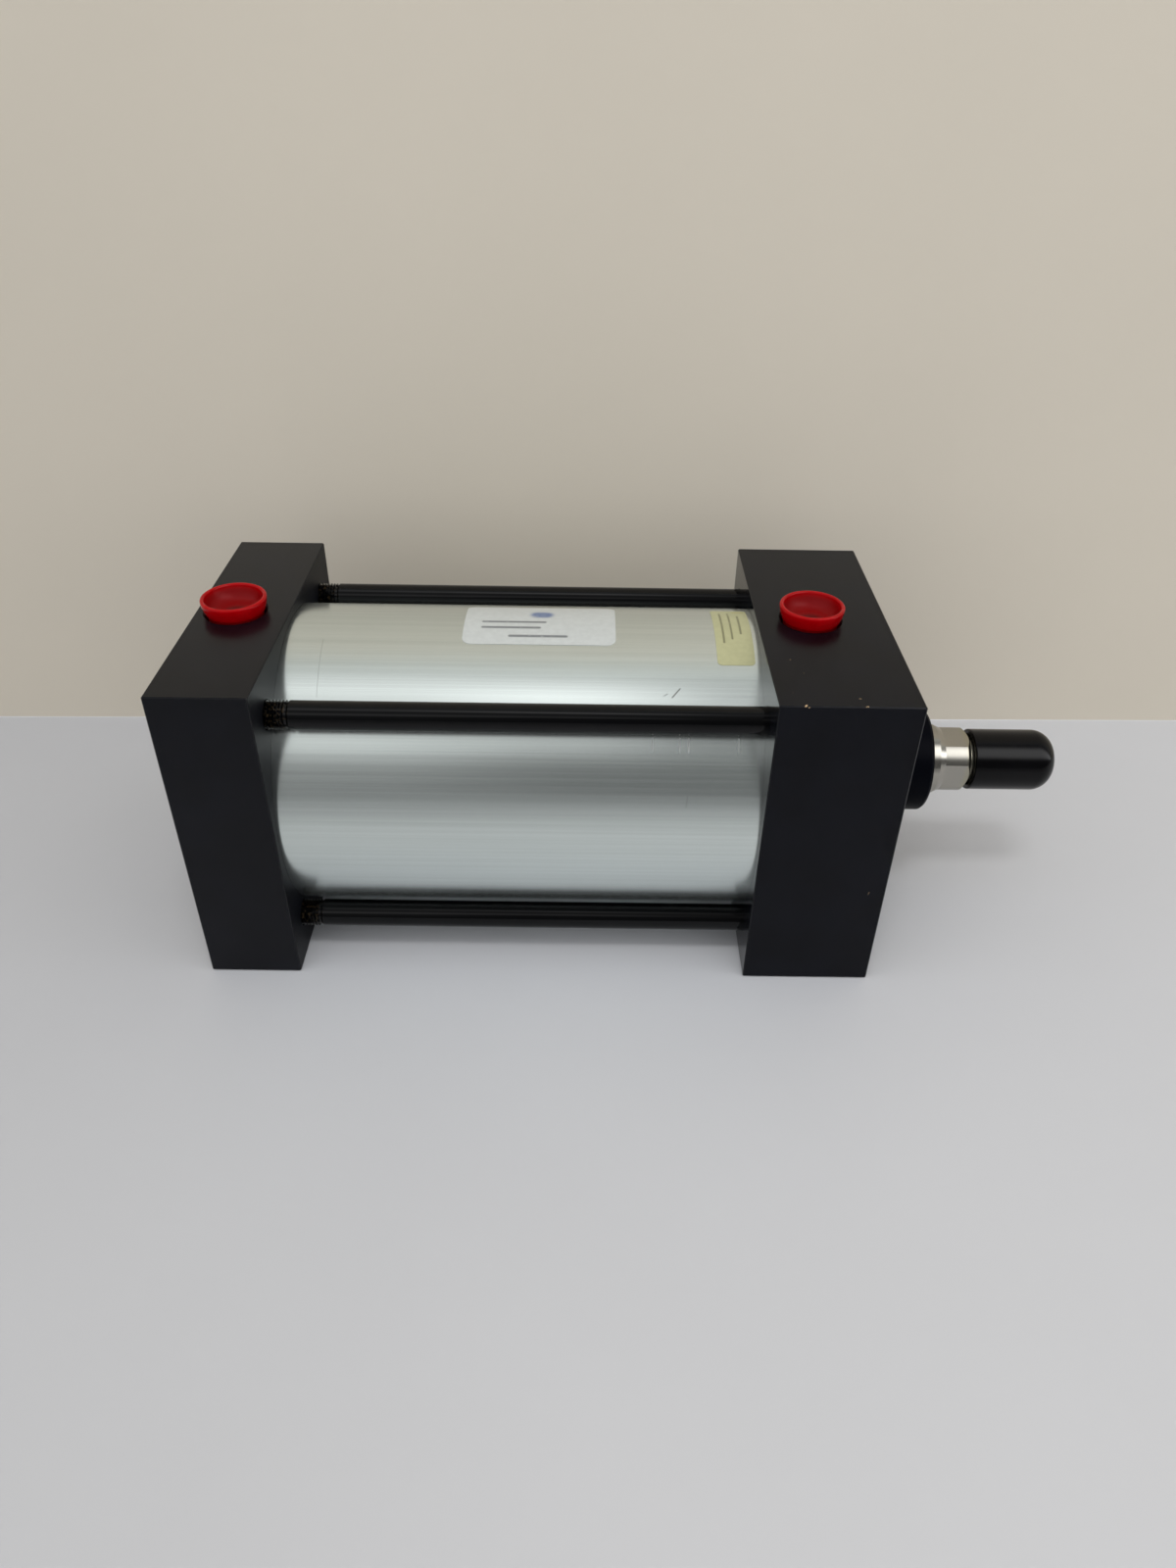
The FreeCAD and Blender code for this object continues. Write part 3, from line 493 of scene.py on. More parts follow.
@shared_group("Block edge", Place=ORIGIN, Centre=ORIGIN, Half_size=(1, 1, 1), Width=0.7 * MM)
def block_edge_group(tree, start):
    """How near a place is to an edge of a square block, 1 on the edge."""
    from_centre = vectors(tree, "ABSOLUTE", vectors(tree, "SUBTRACT", start["Place"], start["Centre"]))
    x, y, z = split(tree, vectors(tree, "SUBTRACT", start["Half size"], from_centre))
    most = maths(tree, "MAXIMUM", x, y)
    middle = maths(tree, "MAXIMUM", maths(tree, "MINIMUM", x, y), maths(tree, "MINIMUM", most, z))
    wander = noise(tree, start["Place"], 260.0, 5.0)
    reach = times(tree, start["Width"], plus(tree, wander, 0.4))
    return {"Edge": smooth_range(tree, middle, reach, times(tree, reach, 0.3))}


@shared_group("Turning rings", Along=0.0, Out=0.0, Rings_per_metre=25000.0)
def ring_group(tree, start):
    """Fine rings as a lathe tool leaves them, along the piece and over its end face."""
    spread = plus(tree, start["Along"], start["Out"])
    wave = maths(tree, "SINE", times(tree, spread, start["Rings per metre"]))
    uneven = noise(tree, combined(tree, times(tree, spread, 2600.0), 0.0, 0.0), 1.0, 2.0)
    return {"Height": plus(tree, times(tree, wave, 0.3), uneven)}


class Finish:
    """A material with a Principled BSDF, object coordinates and what the shared groups give."""

    def __init__(self, name, **plain):
        self.material = bpy.data.materials.new(name)
        self.material.use_nodes = True
        self.tree = self.material.node_tree
        self.shader = first_node(self.tree, "BSDF_PRINCIPLED")
        self.place = add(self.tree, "ShaderNodeTexCoord").outputs["Object"]
        for key, setting in plain.items():
            self.shader.inputs[spaced(key)].default_value = setting

    def feed(self, socket, given):
        self.tree.links.new(given, self.shader.inputs[socket])

    def use(self, group, **given):
        """The outputs of a shared group placed in this material."""
        inputs = {spaced(key): setting for key, setting in given.items()}
        return add(self.tree, "ShaderNodeGroup", inputs, node_tree=group()).outputs

    def grain(self, scale, roughness, spread):
        outputs = self.use(grain_group, Place=self.place, Scale=scale, Roughness=roughness, Spread=spread)
        self.feed("Roughness", outputs["Roughness"])
        return outputs

    def streaks(self, along, across):
        return self.use(streak_group, Place=self.place, Along=along, Across=across)["Streak"]

    def specks(self, scale, size, share):
        return self.use(speck_group, Place=self.place, Scale=scale, Size=size, Share=share)["Mask"]

    def unrolled(self):
        return self.use(unrolled_group, Place=self.place)

    def rings(self, per_metre, over_ends=True):
        flat = self.unrolled()
        out = flat["Out"] if over_ends else 0.0
        return self.use(ring_group, Along=flat["Along"], Out=out, Rings_per_metre=per_metre)["Height"]

    def noise(self, scale, detail, **more):
        return noise(self.tree, self.place, scale, detail, **more)

    def strokes(self, place, marks):
        """The mask of several strokes, each (start, end, width, strength) in millimetres."""
        total = None
        for start, end, width, strength in marks:
            mask = self.use(stroke_group, Place=place, Start=[v * MM for v in start],
                            End=[v * MM for v in end], Width=width * MM)["Mask"]
            mask = times(self.tree, mask, strength)
            total = mask if total is None else maths(self.tree, "MAXIMUM", total, mask)
        return total

    def mottled(self, given, low, high, tint, dark, light):
        """A tint that turns from its dark shade to its light one as a value goes from low to high."""
        return blend(self.tree, smooth_range(self.tree, given, low, high), rgba(tint, dark), rgba(tint, light))

    def over(self, base, mask, strength, tint):
        """A base colour with another laid over it where the mask is."""
        return blend(self.tree, times(self.tree, mask, strength), base, tint)

    def done(self, base, *heights):
        """Feed the base colour and the bumps, each (height, strength, millimetres), and give the material."""
        self.feed("Base Color", base)
        below = {}
        for height, strength, depth in heights:
            inputs = {"Height": height, "Strength": strength, "Distance": depth * MM, **below}
            below = {"Normal": add(self.tree, "ShaderNodeBump", inputs).outputs[0]}
        self.feed("Normal", below["Normal"])
        return self.material


# Finishes
def barrel_finish():
    """Drawn and clear anodised aluminium: lengthwise streaks, a few scratches and ticks, some dust."""
    look = Finish("Clear anodised barrel", Metallic=1.0, Anisotropic=0.75, IOR=1.45)
    tree = look.tree
    look.feed("Tangent", add(tree, "ShaderNodeTangent", direction_type="UV_MAP", uv_map="UVMap").outputs[0])
    surface = look.unrolled()["Unrolled"]
    fine = look.streaks(5.0, 1700.0)
    streaks = plus(tree, times(tree, fine, 0.5), times(tree, look.streaks(2.5, 520.0), 0.5))
    scratches = look.strokes(surface, [
        ((49.6, -33.5, 0), (52.2, -30.3, 0), 0.30, 0.75), ((46.9, -33.0, 0), (48.1, -32.2, 0), 0.22, 0.5),
        ((-65.6, -34.9, 0), (-66.4, -11.4, 0), 0.14, 0.35), ((54.5, -70.0, 0), (55.0, -66.0, 0), 0.2, 0.3),
        ((-70.0, 20.0, 0), (-69.6, 41.0, 0), 0.12, 0.3), ((12.0, 96.0, 0), (19.0, 97.2, 0), 0.15, 0.35),
        ((60.0, 118.0, 0), (61.0, 110.0, 0), 0.15, 0.3),
    ])
    ticks = look.strokes(surface, [
        ((x, -47.0, 0), (x, -51.5, 0), 0.17, s) for x, s in ((43.2, 0.8), (52.0, 0.9), (54.9, 1.0), (71.0, 0.4))])
    base = look.mottled(streaks, 0.36, 0.64, colours().barrel, 0.97, 1.08)
    base = blend(tree, scratches, base, (0.10, 0.095, 0.09, 1))
    base = look.over(base, look.specks(190.0, 0.055, 0.05), 0.35, (0.30, 0.29, 0.27, 1))
    base = blend(tree, ticks, base, (0.95, 0.96, 0.95, 1))
    rough = look.grain(700.0, 0.225, 0.05)["Roughness"]
    rough = plus(tree, rough, times(tree, minus(tree, streaks, 0.5), 0.10))
    look.feed("Roughness", plus(tree, rough, times(tree, ticks, 0.3), clamp=True))
    return look.done(base, (fine, 0.09, 0.01), (scratches, -0.4, 0.05))


def block_finish(name, low, high, chips, shine, inner_face):
    """Black anodised aluminium with crisp edges, faint clouds, dust and a few bright chips.

    shine is its index of refraction, and inner_face is (place along X, roughness) of the face that the
    barrel stands on.
    """
    look = Finish(name, IOR=shine)
    tree = look.tree
    roughness = 0.25
    grain = look.grain(2100.0, roughness, 0.08)
    at, dull = inner_face
    off_face = maths(tree, "ABSOLUTE", minus(tree, split(tree, look.place)["X"], at))
    on_face = maths(tree, "LESS_THAN", off_face, 0.2 * MM)
    look.feed("Roughness", plus(tree, grain["Roughness"], times(tree, on_face, dull - roughness), clamp=True))
    edge = look.use(block_edge_group, Place=look.place, Centre=list((low + high) / 2),
                    Half_size=list((high - low) / 2), Width=0.55 * MM)["Edge"]
    dust = maths(tree, "MAXIMUM", look.specks(260.0, 0.05, 0.045), look.specks(900.0, 0.10, 0.02))
    base = look.mottled(grain["Cloud"], 0.35, 0.65, colours().block, 0.8, 1.25)
    base = look.over(base, edge, 0.22, rgba(colours().block_edge))
    base = look.over(base, dust, 0.30, (0.10, 0.09, 0.08, 1))
    if chips:
        wander = vectors(tree, "SUBTRACT", look.noise(1600.0, 2.0, out="Color"), (0.5, 0.5, 0.5))
        place = vectors(tree, "ADD", look.place, scaled(tree, wander, 0.6 * MM))
        base = blend(tree, look.strokes(place, chips), base, (0.52, 0.36, 0.20, 1))
    return look.done(base, (grain["Height"], 0.06, 0.02))


def oxide_rod_finish():
    """Oiled black steel, brownish where the threads start."""
    look = Finish("Oiled black rod", IOR=1.30, Coat_Roughness=0.08)
    tree = look.tree
    grain = look.grain(1500.0, 0.07, 0.05)
    near_cap = smooth_range(tree, split(tree, look.place)["X"], CAP_HIGH.x + 9 * MM, CAP_HIGH.x + 5 * MM)
    brown = times(tree, near_cap, smooth_range(tree, look.noise(900.0, 3.0), 0.52, 0.66))
    base = look.mottled(look.streaks(14.0, 900.0), 0.3, 0.7, colours().oxide, 0.7, 1.4)
    base = look.over(base, brown, 0.45, (0.060, 0.042, 0.022, 1))
    look.feed("Coat Weight", smooth_range(tree, grain["Cloud"], 0.2, 0.8, 0.0, 0.05))
    return look.done(base, (grain["Height"], 0.05, 0.02))


def polished_rod_finish():
    """Ground and polished steel: fine rings round it, the flats milled and a little duller, and an olive painted
    reflection from the shoulder chamfer on.
    """
    look = Finish("Polished rod", Metallic=1.0)
    tree = look.tree
    along = look.unrolled()["Along"]
    start = SHOULDER - sizes().rod_flats_length
    on_flats = smooth_range(tree, along, start - 0.1 * MM, start + 0.1 * MM)
    milled = times(tree, look.streaks(260.0, 2600.0), on_flats)
    grain = look.grain(1200.0, 0.18, 0.10)
    look.feed("Roughness", plus(tree, grain["Roughness"], times(tree, on_flats, 0.07)))
    stain = smooth_range(tree, grain["Cloud"], 0.50, 0.72)
    base = look.over(rgba(colours().rod), stain, 0.35, (0.42, 0.39, 0.32, 1))
    # Painted reflection: an olive tint from the shoulder chamfer onwards, for the warm light that the chamfer
    # reflects
    painted_chamfer_reflection = smooth_range(tree, along, SHOULDER - 2.4 * MM, SHOULDER - 1.4 * MM)
    base = look.over(base, painted_chamfer_reflection, 0.5, (0.40, 0.38, 0.27, 1))
    return look.done(base, (look.rings(30000.0, over_ends=False), 0.05, 0.01), (milled, 0.10, 0.02))


def gland_finish():
    """Black anodised aluminium with fine turning rings."""
    look = Finish("Turned black gland", IOR=1.10)
    rings = look.rings(22000.0)
    grain = look.grain(1700.0, 0.34, 0.10)
    base = look.mottled(rings, 0.2, 0.8, colours().block, 0.7, 1.2)
    base = look.over(base, look.specks(420.0, 0.06, 0.05), 0.4, (0.10, 0.095, 0.09, 1))
    return look.done(base, (plus(look.tree, rings, times(look.tree, grain["Height"], 0.3)), 0.12, 0.02))


def vinyl_finish():
    """Glossy dipped vinyl, faintly wavy, with a little dust."""
    look = Finish("Black dipped vinyl", IOR=1.26)
    grain = look.grain(1300.0, 0.17, 0.06)
    waves = look.noise(120.0, 2.0)
    base = look.mottled(waves, 0.3, 0.7, colours().vinyl, 0.8, 1.3)
    base = look.over(base, look.specks(520.0, 0.07, 0.05), 0.35, (0.09, 0.09, 0.09, 1))
    return look.done(base, (waves, 0.12, 0.35), (grain["Height"], 0.03, 0.02))


def plug_finish():
    """Moulded red plastic with a soft gloss and a faint flow pattern, duller inside its cup, with painted shade
    inside the cup and darker painted shade in the middle of its floor.
    """
    look = Finish("Moulded red plastic", IOR=1.25)
    tree = look.tree
    grain = look.grain(1500.0, 0.15, 0.06)
    flow = look.noise(160.0, 2.0, Distortion=1.2)
    x, y, _ = split(tree, look.place)
    out = diagonal(tree, minus(tree, maths(tree, "ABSOLUTE", x), HEAD_PORT), y)
    inside = smooth_range(tree, out, 9.9 * MM, 9.0 * MM)
    base = look.mottled(flow, 0.3, 0.7, colours().plug, 0.93, 1.05)
    # Painted shade: the inside of the cup takes half the red, for the shade that falls in it
    base = look.over(base, inside, 0.9, rgba(colours().plug, 0.50))
    # Painted shade: the middle of the cup's floor turns darker still, for the shade in its central dimple
    base = blend(tree, smooth_range(tree, out, 4.6 * MM, 2.2 * MM, 0.0, 0.75), base, rgba(colours().plug, 0.16))
    base = look.over(base, look.specks(700.0, 0.12, 0.05), 0.08, (0.70, 0.10, 0.08, 1))
    look.feed("Roughness", plus(tree, grain["Roughness"], times(tree, inside, 0.24), clamp=True))
    return look.done(base, (flow, 0.08, 0.12), (grain["Height"], 0.05, 0.02))


def label_finish(name, paper, paper_size, bars, gloss):
    """Printed film on its own UV map: paper with ruled bars, each (start, end, width, colour) in millimetres."""
    look = Finish(name, IOR=1.45)
    tree = look.tree
    uv = add(tree, "ShaderNodeUVMap", uv_map="UVMap").outputs[0]
    sheet = vectors(tree, "MULTIPLY", uv, (paper_size[0] * MM, paper_size[1] * MM, 0))
    grain = look.grain(1400.0, gloss, 0.10)
    fibres = look.noise(500.0, 5.0)
    broken = smooth_range(tree, fibres, 0.25, 0.5, 0.7, 1.0)
    base = look.mottled(fibres, 0.3, 0.7, paper, 0.96, 1.03)
    for start, end, width, ink in bars:
        base = look.over(base, look.strokes(sheet, [(start + (0,), end + (0,), width, 0.85)]), broken, rgba(ink))
    return look.done(base, (look.noise(150.0, 2.0), 0.15, 0.15), (grain["Height"], 0.05, 0.02))


def worked_metal_finish(name, tint, roughness, rings, metallic=1.0, dull=0.6):
    """Machined or plated metal with turning rings, a duller tone in patches and fine grain."""
    look = Finish(name, Metallic=metallic)
    grain = look.grain(1500.0, roughness, 0.14)
    base = look.mottled(grain["Cloud"], 0.3, 0.7, tint, 1.0, dull)
    return look.done(base, (look.rings(rings), 0.12, 0.02), (grain["Height"], 0.05, 0.02))


def moulded_finish(name, tint, roughness, fleck):
    """Rubber, urethane or filled plastic: fine grain with a slight bloom."""
    look = Finish(name, IOR=1.48)
    grain = look.grain(1900.0, roughness, 0.16)
    base = look.mottled(grain["Cloud"], 0.3, 0.7, tint, 0.8, 1.3)
    base = look.over(base, look.specks(1300.0, 0.25, 0.25), fleck, rgba(tint, 3.0))
    return look.done(base, (grain["Height"], 0.15, 0.03))


# Operators
class CYLINDER_OT_stage(bpy.types.Operator):
    """Set the bench, the wall behind it, the light and the camera"""

    bl_idname = "cylinder.stage"
    bl_label = "Stage"

    def execute(self, context):
        settings = context.scene.stage_settings
        self.plane("bench", (0, 0, BENCH_HEIGHT), (0, 0, 0), 1.0, self.one_sided(
            "bench", settings.floor, rgba(settings.floor, 0.6), ("Y", -0.13, -0.45), 0.81))
        self.plane("wall", (0, settings.wall_distance, 2.0), (math.pi / 2, 0, WALL_TURN), 0.5, self.one_sided(
            "wall", settings.wall, rgba(settings.upper_wall), ("Z", 0.34, 0.85), 0.92))
        self.light(context, settings)
        self.camera(context, settings)
        return {"FINISHED"}

    def plane(self, name, place, turn, depth, material):
        """A wide plane of the stage, its depth given as a share of 8 metres."""
        deselect_all()
        bpy.ops.mesh.primitive_plane_add(size=8.0, location=place, rotation=turn)
        piece = named(name)
        piece.scale = (4.0, depth, 1.0)
        bpy.ops.object.transform_apply()
        piece.data.materials.append(material)

    def one_sided(self, name, tint, far_tint, fade, dusk):
        """A pale matt surface with painted shade towards its left, whose reflection takes another tone away from
        the part.

        fade is the axis along which it does, with the places where that starts and ends, and dusk is the share
        of its colour that the painted shade leaves at the left. It shows only from its front, so that nothing
        hides the part from behind.
        """
        material = bpy.data.materials.new(name)
        material.use_nodes = True
        tree = material.node_tree
        shader = first_node(tree, "BSDF_PRINCIPLED")
        place = add(tree, "ShaderNodeTexCoord").outputs["Object"]
        parts = split(tree, place)
        axis, near, far = fade
        tone = blend(tree, noise(tree, place, 9.0, 4.0), rgba(tint, 0.97), rgba(tint, 1.03))
        reflected = add(tree, "ShaderNodeLightPath").outputs["Is Glossy Ray"]
        tone = blend(tree, times(tree, smooth_range(tree, parts[axis], near, far), reflected), tone, far_tint)
        # Painted shade: the colour is darkened towards the left, where less light falls
        side = smooth_range(tree, parts["X"], -0.38, 0.20, dusk, 1.0)
        tone = vectors(tree, "MULTIPLY", tone, combined(tree, side, side, side))
        tree.links.new(tone, shader.inputs["Base Color"])
        shader.inputs["Roughness"].default_value = 0.6
        shader.inputs["Specular IOR Level"].default_value = 0.2
        behind = add(tree, "ShaderNodeNewGeometry").outputs["Backfacing"]
        clear = add(tree, "ShaderNodeBsdfTransparent").outputs[0]
        mixed = add(tree, "ShaderNodeMixShader", {0: behind, 1: shader.outputs[0], 2: clear}).outputs[0]
        tree.links.new(mixed, first_node(tree, "OUTPUT_MATERIAL").inputs["Surface"])
        return material

    # What polished pieces see of the room, from the front horizon over the top to the back horizon:
    # (how far round, brightness at the left, in the middle, at the right)
    ROOM = [
        (0.00, 0.20, 0.14, 0.14), (0.06, 0.21, 0.14, 0.13), (0.10, 0.24, 0.15, 0.13), (0.13, 0.29, 0.16, 0.14),
        (0.16, 0.38, 0.18, 0.15), (0.18, 0.60, 0.26, 0.17), (0.21, 1.00, 0.62, 0.19), (0.235, 1.08, 0.86, 0.20),
        (0.27, 0.62, 0.50, 0.22), (0.33, 0.36, 0.32, 0.30), (0.385, 0.60, 0.72, 0.42), (0.41, 1.32, 2.15, 0.60),
        (0.43, 1.32, 2.15, 0.60), (0.455, 0.96, 0.94, 0.47), (0.49, 0.88, 0.72, 0.42), (0.53, 0.76, 0.58, 0.40),
        (0.57, 0.66, 0.50, 0.40), (0.63, 0.58, 0.47, 0.40), (0.73, 0.55, 0.47, 0.40), (1.00, 0.46, 0.42, 0.40),
    ]

    def light(self, context, settings):
        """A room that polished pieces reflect, even light on matt ones, and one soft lamp high in front."""
        world = context.scene.world or bpy.data.worlds.new("Room")
        context.scene.world = world
        world.use_nodes = True
        tree = world.node_tree
        x, y, z = split(tree, add(tree, "ShaderNodeTexCoord").outputs["Generated"])
        turn = maths(tree, "DIVIDE", maths(tree, "ARCTAN2", z, times(tree, y, -1.0)), math.pi, clamp=True)
        ramp = add(tree, "ShaderNodeValToRGB", {"Fac": turn})
        stops = ramp.color_ramp.elements
        while len(stops) < len(self.ROOM):
            stops.new(0.5)
        for stop, (at, *levels) in zip(stops, self.ROOM):
            stop.position = at
            stop.color = (*levels, 1)
        left, middle, right = add(tree, "ShaderNodeSeparateColor", {"Color": ramp.outputs["Color"]}).outputs
        shine = middle
        for level, start, end in ((left, -0.02, -0.20), (right, 0.0, 0.16)):
            share = smooth_range(tree, x, start, end)
            shine = plus(tree, shine, times(tree, minus(tree, level, middle), share))
        # A bright strip at the right, which the ends of the round pieces catch
        strip = times(tree, smooth_range(tree, turn, 0.16, 0.27), smooth_range(tree, turn, 0.47, 0.36))
        shine = plus(tree, shine, times(tree, strip, smooth_range(tree, x, 0.20, 0.32, 0.0, 3.2)))
        path = add(tree, "ShaderNodeLightPath").outputs
        even = (settings.fill, settings.fill, settings.fill * 1.02, 1)
        seen = add(tree, "ShaderNodeCombineColor", {0: shine, 1: shine, 2: shine}).outputs[0]
        tint = blend(tree, path["Is Glossy Ray"], even, seen)
        tint = blend(tree, path["Is Camera Ray"], tint, (0.60, 0.57, 0.52, 1))
        background = first_node(tree, "BACKGROUND")
        tree.links.new(tint, background.inputs["Color"])
        background.inputs["Strength"].default_value = 1.0
        deselect_all()
        bpy.ops.object.light_add(type="AREA", location=LAMP_PLACE)
        lamp = named("overhead_lamp")
        lamp.data.shape = "RECTANGLE"
        lamp.data.size, lamp.data.size_y = LAMP_SIZE
        lamp.data.energy = settings.lamp_power
        lamp.visible_glossy = False
        lamp.rotation_euler = (Vector(LAMP_TARGET) - lamp.location).to_track_quat("-Z", "Y").to_euler()

    def camera(self, context, settings):
        """The camera stands where the photograph was taken from."""
        deselect_all()
        bpy.ops.object.camera_add()
        camera = named("camera")
        turn = Matrix((CAMERA_RIGHT, -CAMERA_DOWN, -CAMERA_AHEAD)).transposed()
        camera.matrix_world = Matrix.Translation(CAMERA_PLACE) @ turn.to_4x4()
        camera.data.sensor_width = 36.0
        camera.data.sensor_fit = "AUTO"
        camera.data.lens = settings.lens
        camera.data.clip_start = 0.01
        context.scene.camera = camera


class CYLINDER_OT_barrel(bpy.types.Operator):
    """Draw the barrel between the two blocks"""

    bl_idname = "cylinder.barrel"
    bl_label = "Barrel"

    def execute(self, context):
        size = sizes()
        deselect_all()
        bpy.ops.mesh.primitive_cylinder_add(
            vertices=192, radius=size.barrel_radius, depth=BARREL_HIGH.x - BARREL_LOW.x,
            end_fill_type="NOTHING", rotation=(0, math.pi / 2, 0))
        piece = named("barrel_tube")
        bpy.ops.object.transform_apply()
        apply_modifier(piece, "SOLIDIFY", thickness=size.barrel_wall, offset=-1.0, use_even_offset=True)
        round_edges(piece, 0.3 * MM, segments=2, angle=50)
        settle(piece, ((BARREL_LOW.x + BARREL_HIGH.x) / 2, 0, AXIS_HEIGHT))
        hand_over(piece, "housing", "clear_anodised_barrel", barrel_finish(), "barrel")
        return {"FINISHED"}


class CYLINDER_OT_labels(bpy.types.Operator):
    """Lay the two stickers on the barrel, bare but for ruled marks"""

    bl_idname = "cylinder.labels"
    bl_label = "Labels"

    def sticker(self, name, outline, centre, arc_centre):
        """A thin sheet with round corners, bent to the barrel's curve about an arc's middle."""
        size = sizes()
        width, height, corner = outline
        radius = size.barrel_radius + 0.02 * MM
        turn = arc_centre * MM / radius
        deselect_all()
        bpy.ops.mesh.primitive_plane_add(size=1.0)
        piece = named(name)
        piece.scale = (width * MM, height * MM, 1.0)
        bpy.ops.object.transform_apply()
        edit_all()
        bpy.ops.mesh.bevel(offset=corner * MM, segments=6, affect="VERTICES")
        cuts = round(height)
        for i in range(1, cuts):
            bpy.ops.mesh.select_all(action="SELECT")
            bpy.ops.mesh.bisect(plane_co=(0, (i / cuts - 0.5) * height * MM, 0), plane_no=(0, 1, 0))
        bpy.ops.object.mode_set(mode="OBJECT")
        piece.rotation_euler = (math.pi / 2, 0, 0)
        bpy.ops.object.transform_apply()
        apply_modifier(piece, "SIMPLE_DEFORM", deform_method="BEND", deform_axis="X", angle=height * MM / radius)
        apply_modifier(piece, "SOLIDIFY", thickness=size.label_thickness, offset=1.0)
        piece.rotation_euler = (-math.pi / 2 - turn, 0, 0)
        bpy.ops.object.transform_apply()
        return settle(piece, (centre * MM, radius * math.sin(turn), AXIS_HEIGHT + radius * math.cos(turn)))

    def execute(self, context):
        tint = colours()
        white_marks = [
            ((6.6, 13.2), (27.4, 13.2), 0.95, tint.label_rule), ((6.6, 9.4), (25.6, 9.4), 0.95, tint.label_rule),
            ((16.0, 4.4), (34.8, 4.4), 0.95, tint.label_rule), ((25.0, 19.4), (27.6, 19.4), 3.7, tint.label_mark),
        ]
        yellow_marks = [
            ((2.9, 31.0), (2.9, 10.5), 0.55, tint.tag_rule), ((5.8, 31.5), (5.8, 12.5), 0.50, tint.tag_rule),
            ((8.9, 28.5), (8.9, 15.5), 0.55, tint.tag_rule), ((7.8, 33.2), (11.4, 33.2), 0.45, (0.42, 0.33, 0.06)),
        ]
        for name, look, outline, centre, arc_centre, paper, marks, gloss in (
            ("white_label", "White label", WHITE_STICKER, 5.6, 1.3, tint.label, white_marks, 0.32),
            ("yellow_label", "Yellow label", YELLOW_STICKER, 71.15, -3.25, tint.tag, yellow_marks, 0.40),
        ):
            piece = self.sticker(name, outline, centre, arc_centre)
            hand_over(piece, "housing", "clear_anodised_barrel", label_finish(look, paper, outline, marks, gloss))
        return {"FINISHED"}


class CYLINDER_OT_tie_rods(bpy.types.Operator):
    """Turn a tie rod with its two threads, and set four of them"""

    bl_idname = "cylinder.tie_rods"
    bl_label = "Tie rods"

    def execute(self, context):
        size = sizes()
        low, high = TIE_LOW.x, TIE_HIGH.x
        radius, depth, threaded = size.tie_rod_radius, size.tie_thread_depth, size.tie_thread_length
        core = radius - depth
        edge = 0.5 * MM
        bar = lathe("tie_rod_bar", [
            (low, 0.0), (low, core - edge), (low + edge, core), (low + threaded, core),
            (low + threaded + depth, radius), (high - threaded - depth, radius), (high - threaded, core),
            (high - edge, core), (high, core - edge), (high, 0.0),
        ], steps=48, closed=False)
        threads = [
            thread_ridge(name, "X", core - 0.08 * MM, radius, size.tie_thread_pitch, start, end, 32)
            for name, start, end in (
                ("rear_thread", low + edge, low + threaded), ("front_thread", high - threaded, high - edge))
        ]
        first = settle(join([bar, *threads], "tie_rod_1"))
        corner, *corners = [(0, y * TIE_OFFSET, AXIS_HEIGHT + z * TIE_OFFSET) for y in (-1, 1) for z in (-1, 1)]
        rods = [copied(first, f"tie_rod_{number}", place) for number, place in enumerate(corners, 2)]
        material = oxide_rod_finish()
        for rod in [settle(first, corner), *rods]:
            hand_over(rod, "housing", "black_oxide_rod", material, "tie_rods")
        return {"FINISHED"}


class CYLINDER_OT_gland(bpy.types.Operator):
    """Turn the gland's nose with its bore"""

    bl_idname = "cylinder.gland"
    bl_label = "Rod gland"

    def execute(self, context):
        size = sizes()
        low, high = GLAND_LOW.x, GLAND_HIGH.x
        pilot = size.pilot_radius
        flange, flange_end, neck = (GLAND_HIGH.y - GLAND_LOW.y) / 2, low + 7.5 * MM, 19.5 * MM
        bore = size.rod_radius + 0.6 * MM
        wiper_seat, step = size.rod_radius + 4.3 * MM, high - 5.0 * MM
        seal_seat, inner_step = bore + 2.45 * MM, step - 2.9 * MM
        piece = lathe("gland_nose", [
            (low, seal_seat), (low, flange), (flange_end, flange), (flange_end, neck), (HEAD_HIGH.x, neck),
            (HEAD_HIGH.x, pilot), (high - 1.1 * MM, pilot), (high, pilot - 0.8 * MM), (high, wiper_seat),
            (step, wiper_seat), (step, bore), (inner_step, bore), (inner_step, seal_seat),
        ])
        round_edges(piece, 0.22 * MM, segments=2)
        settle(piece, (0, 0, AXIS_HEIGHT))
        hand_over(piece, "housing", "black_anodised_gland", gland_finish(), "rod_gland")
        return {"FINISHED"}


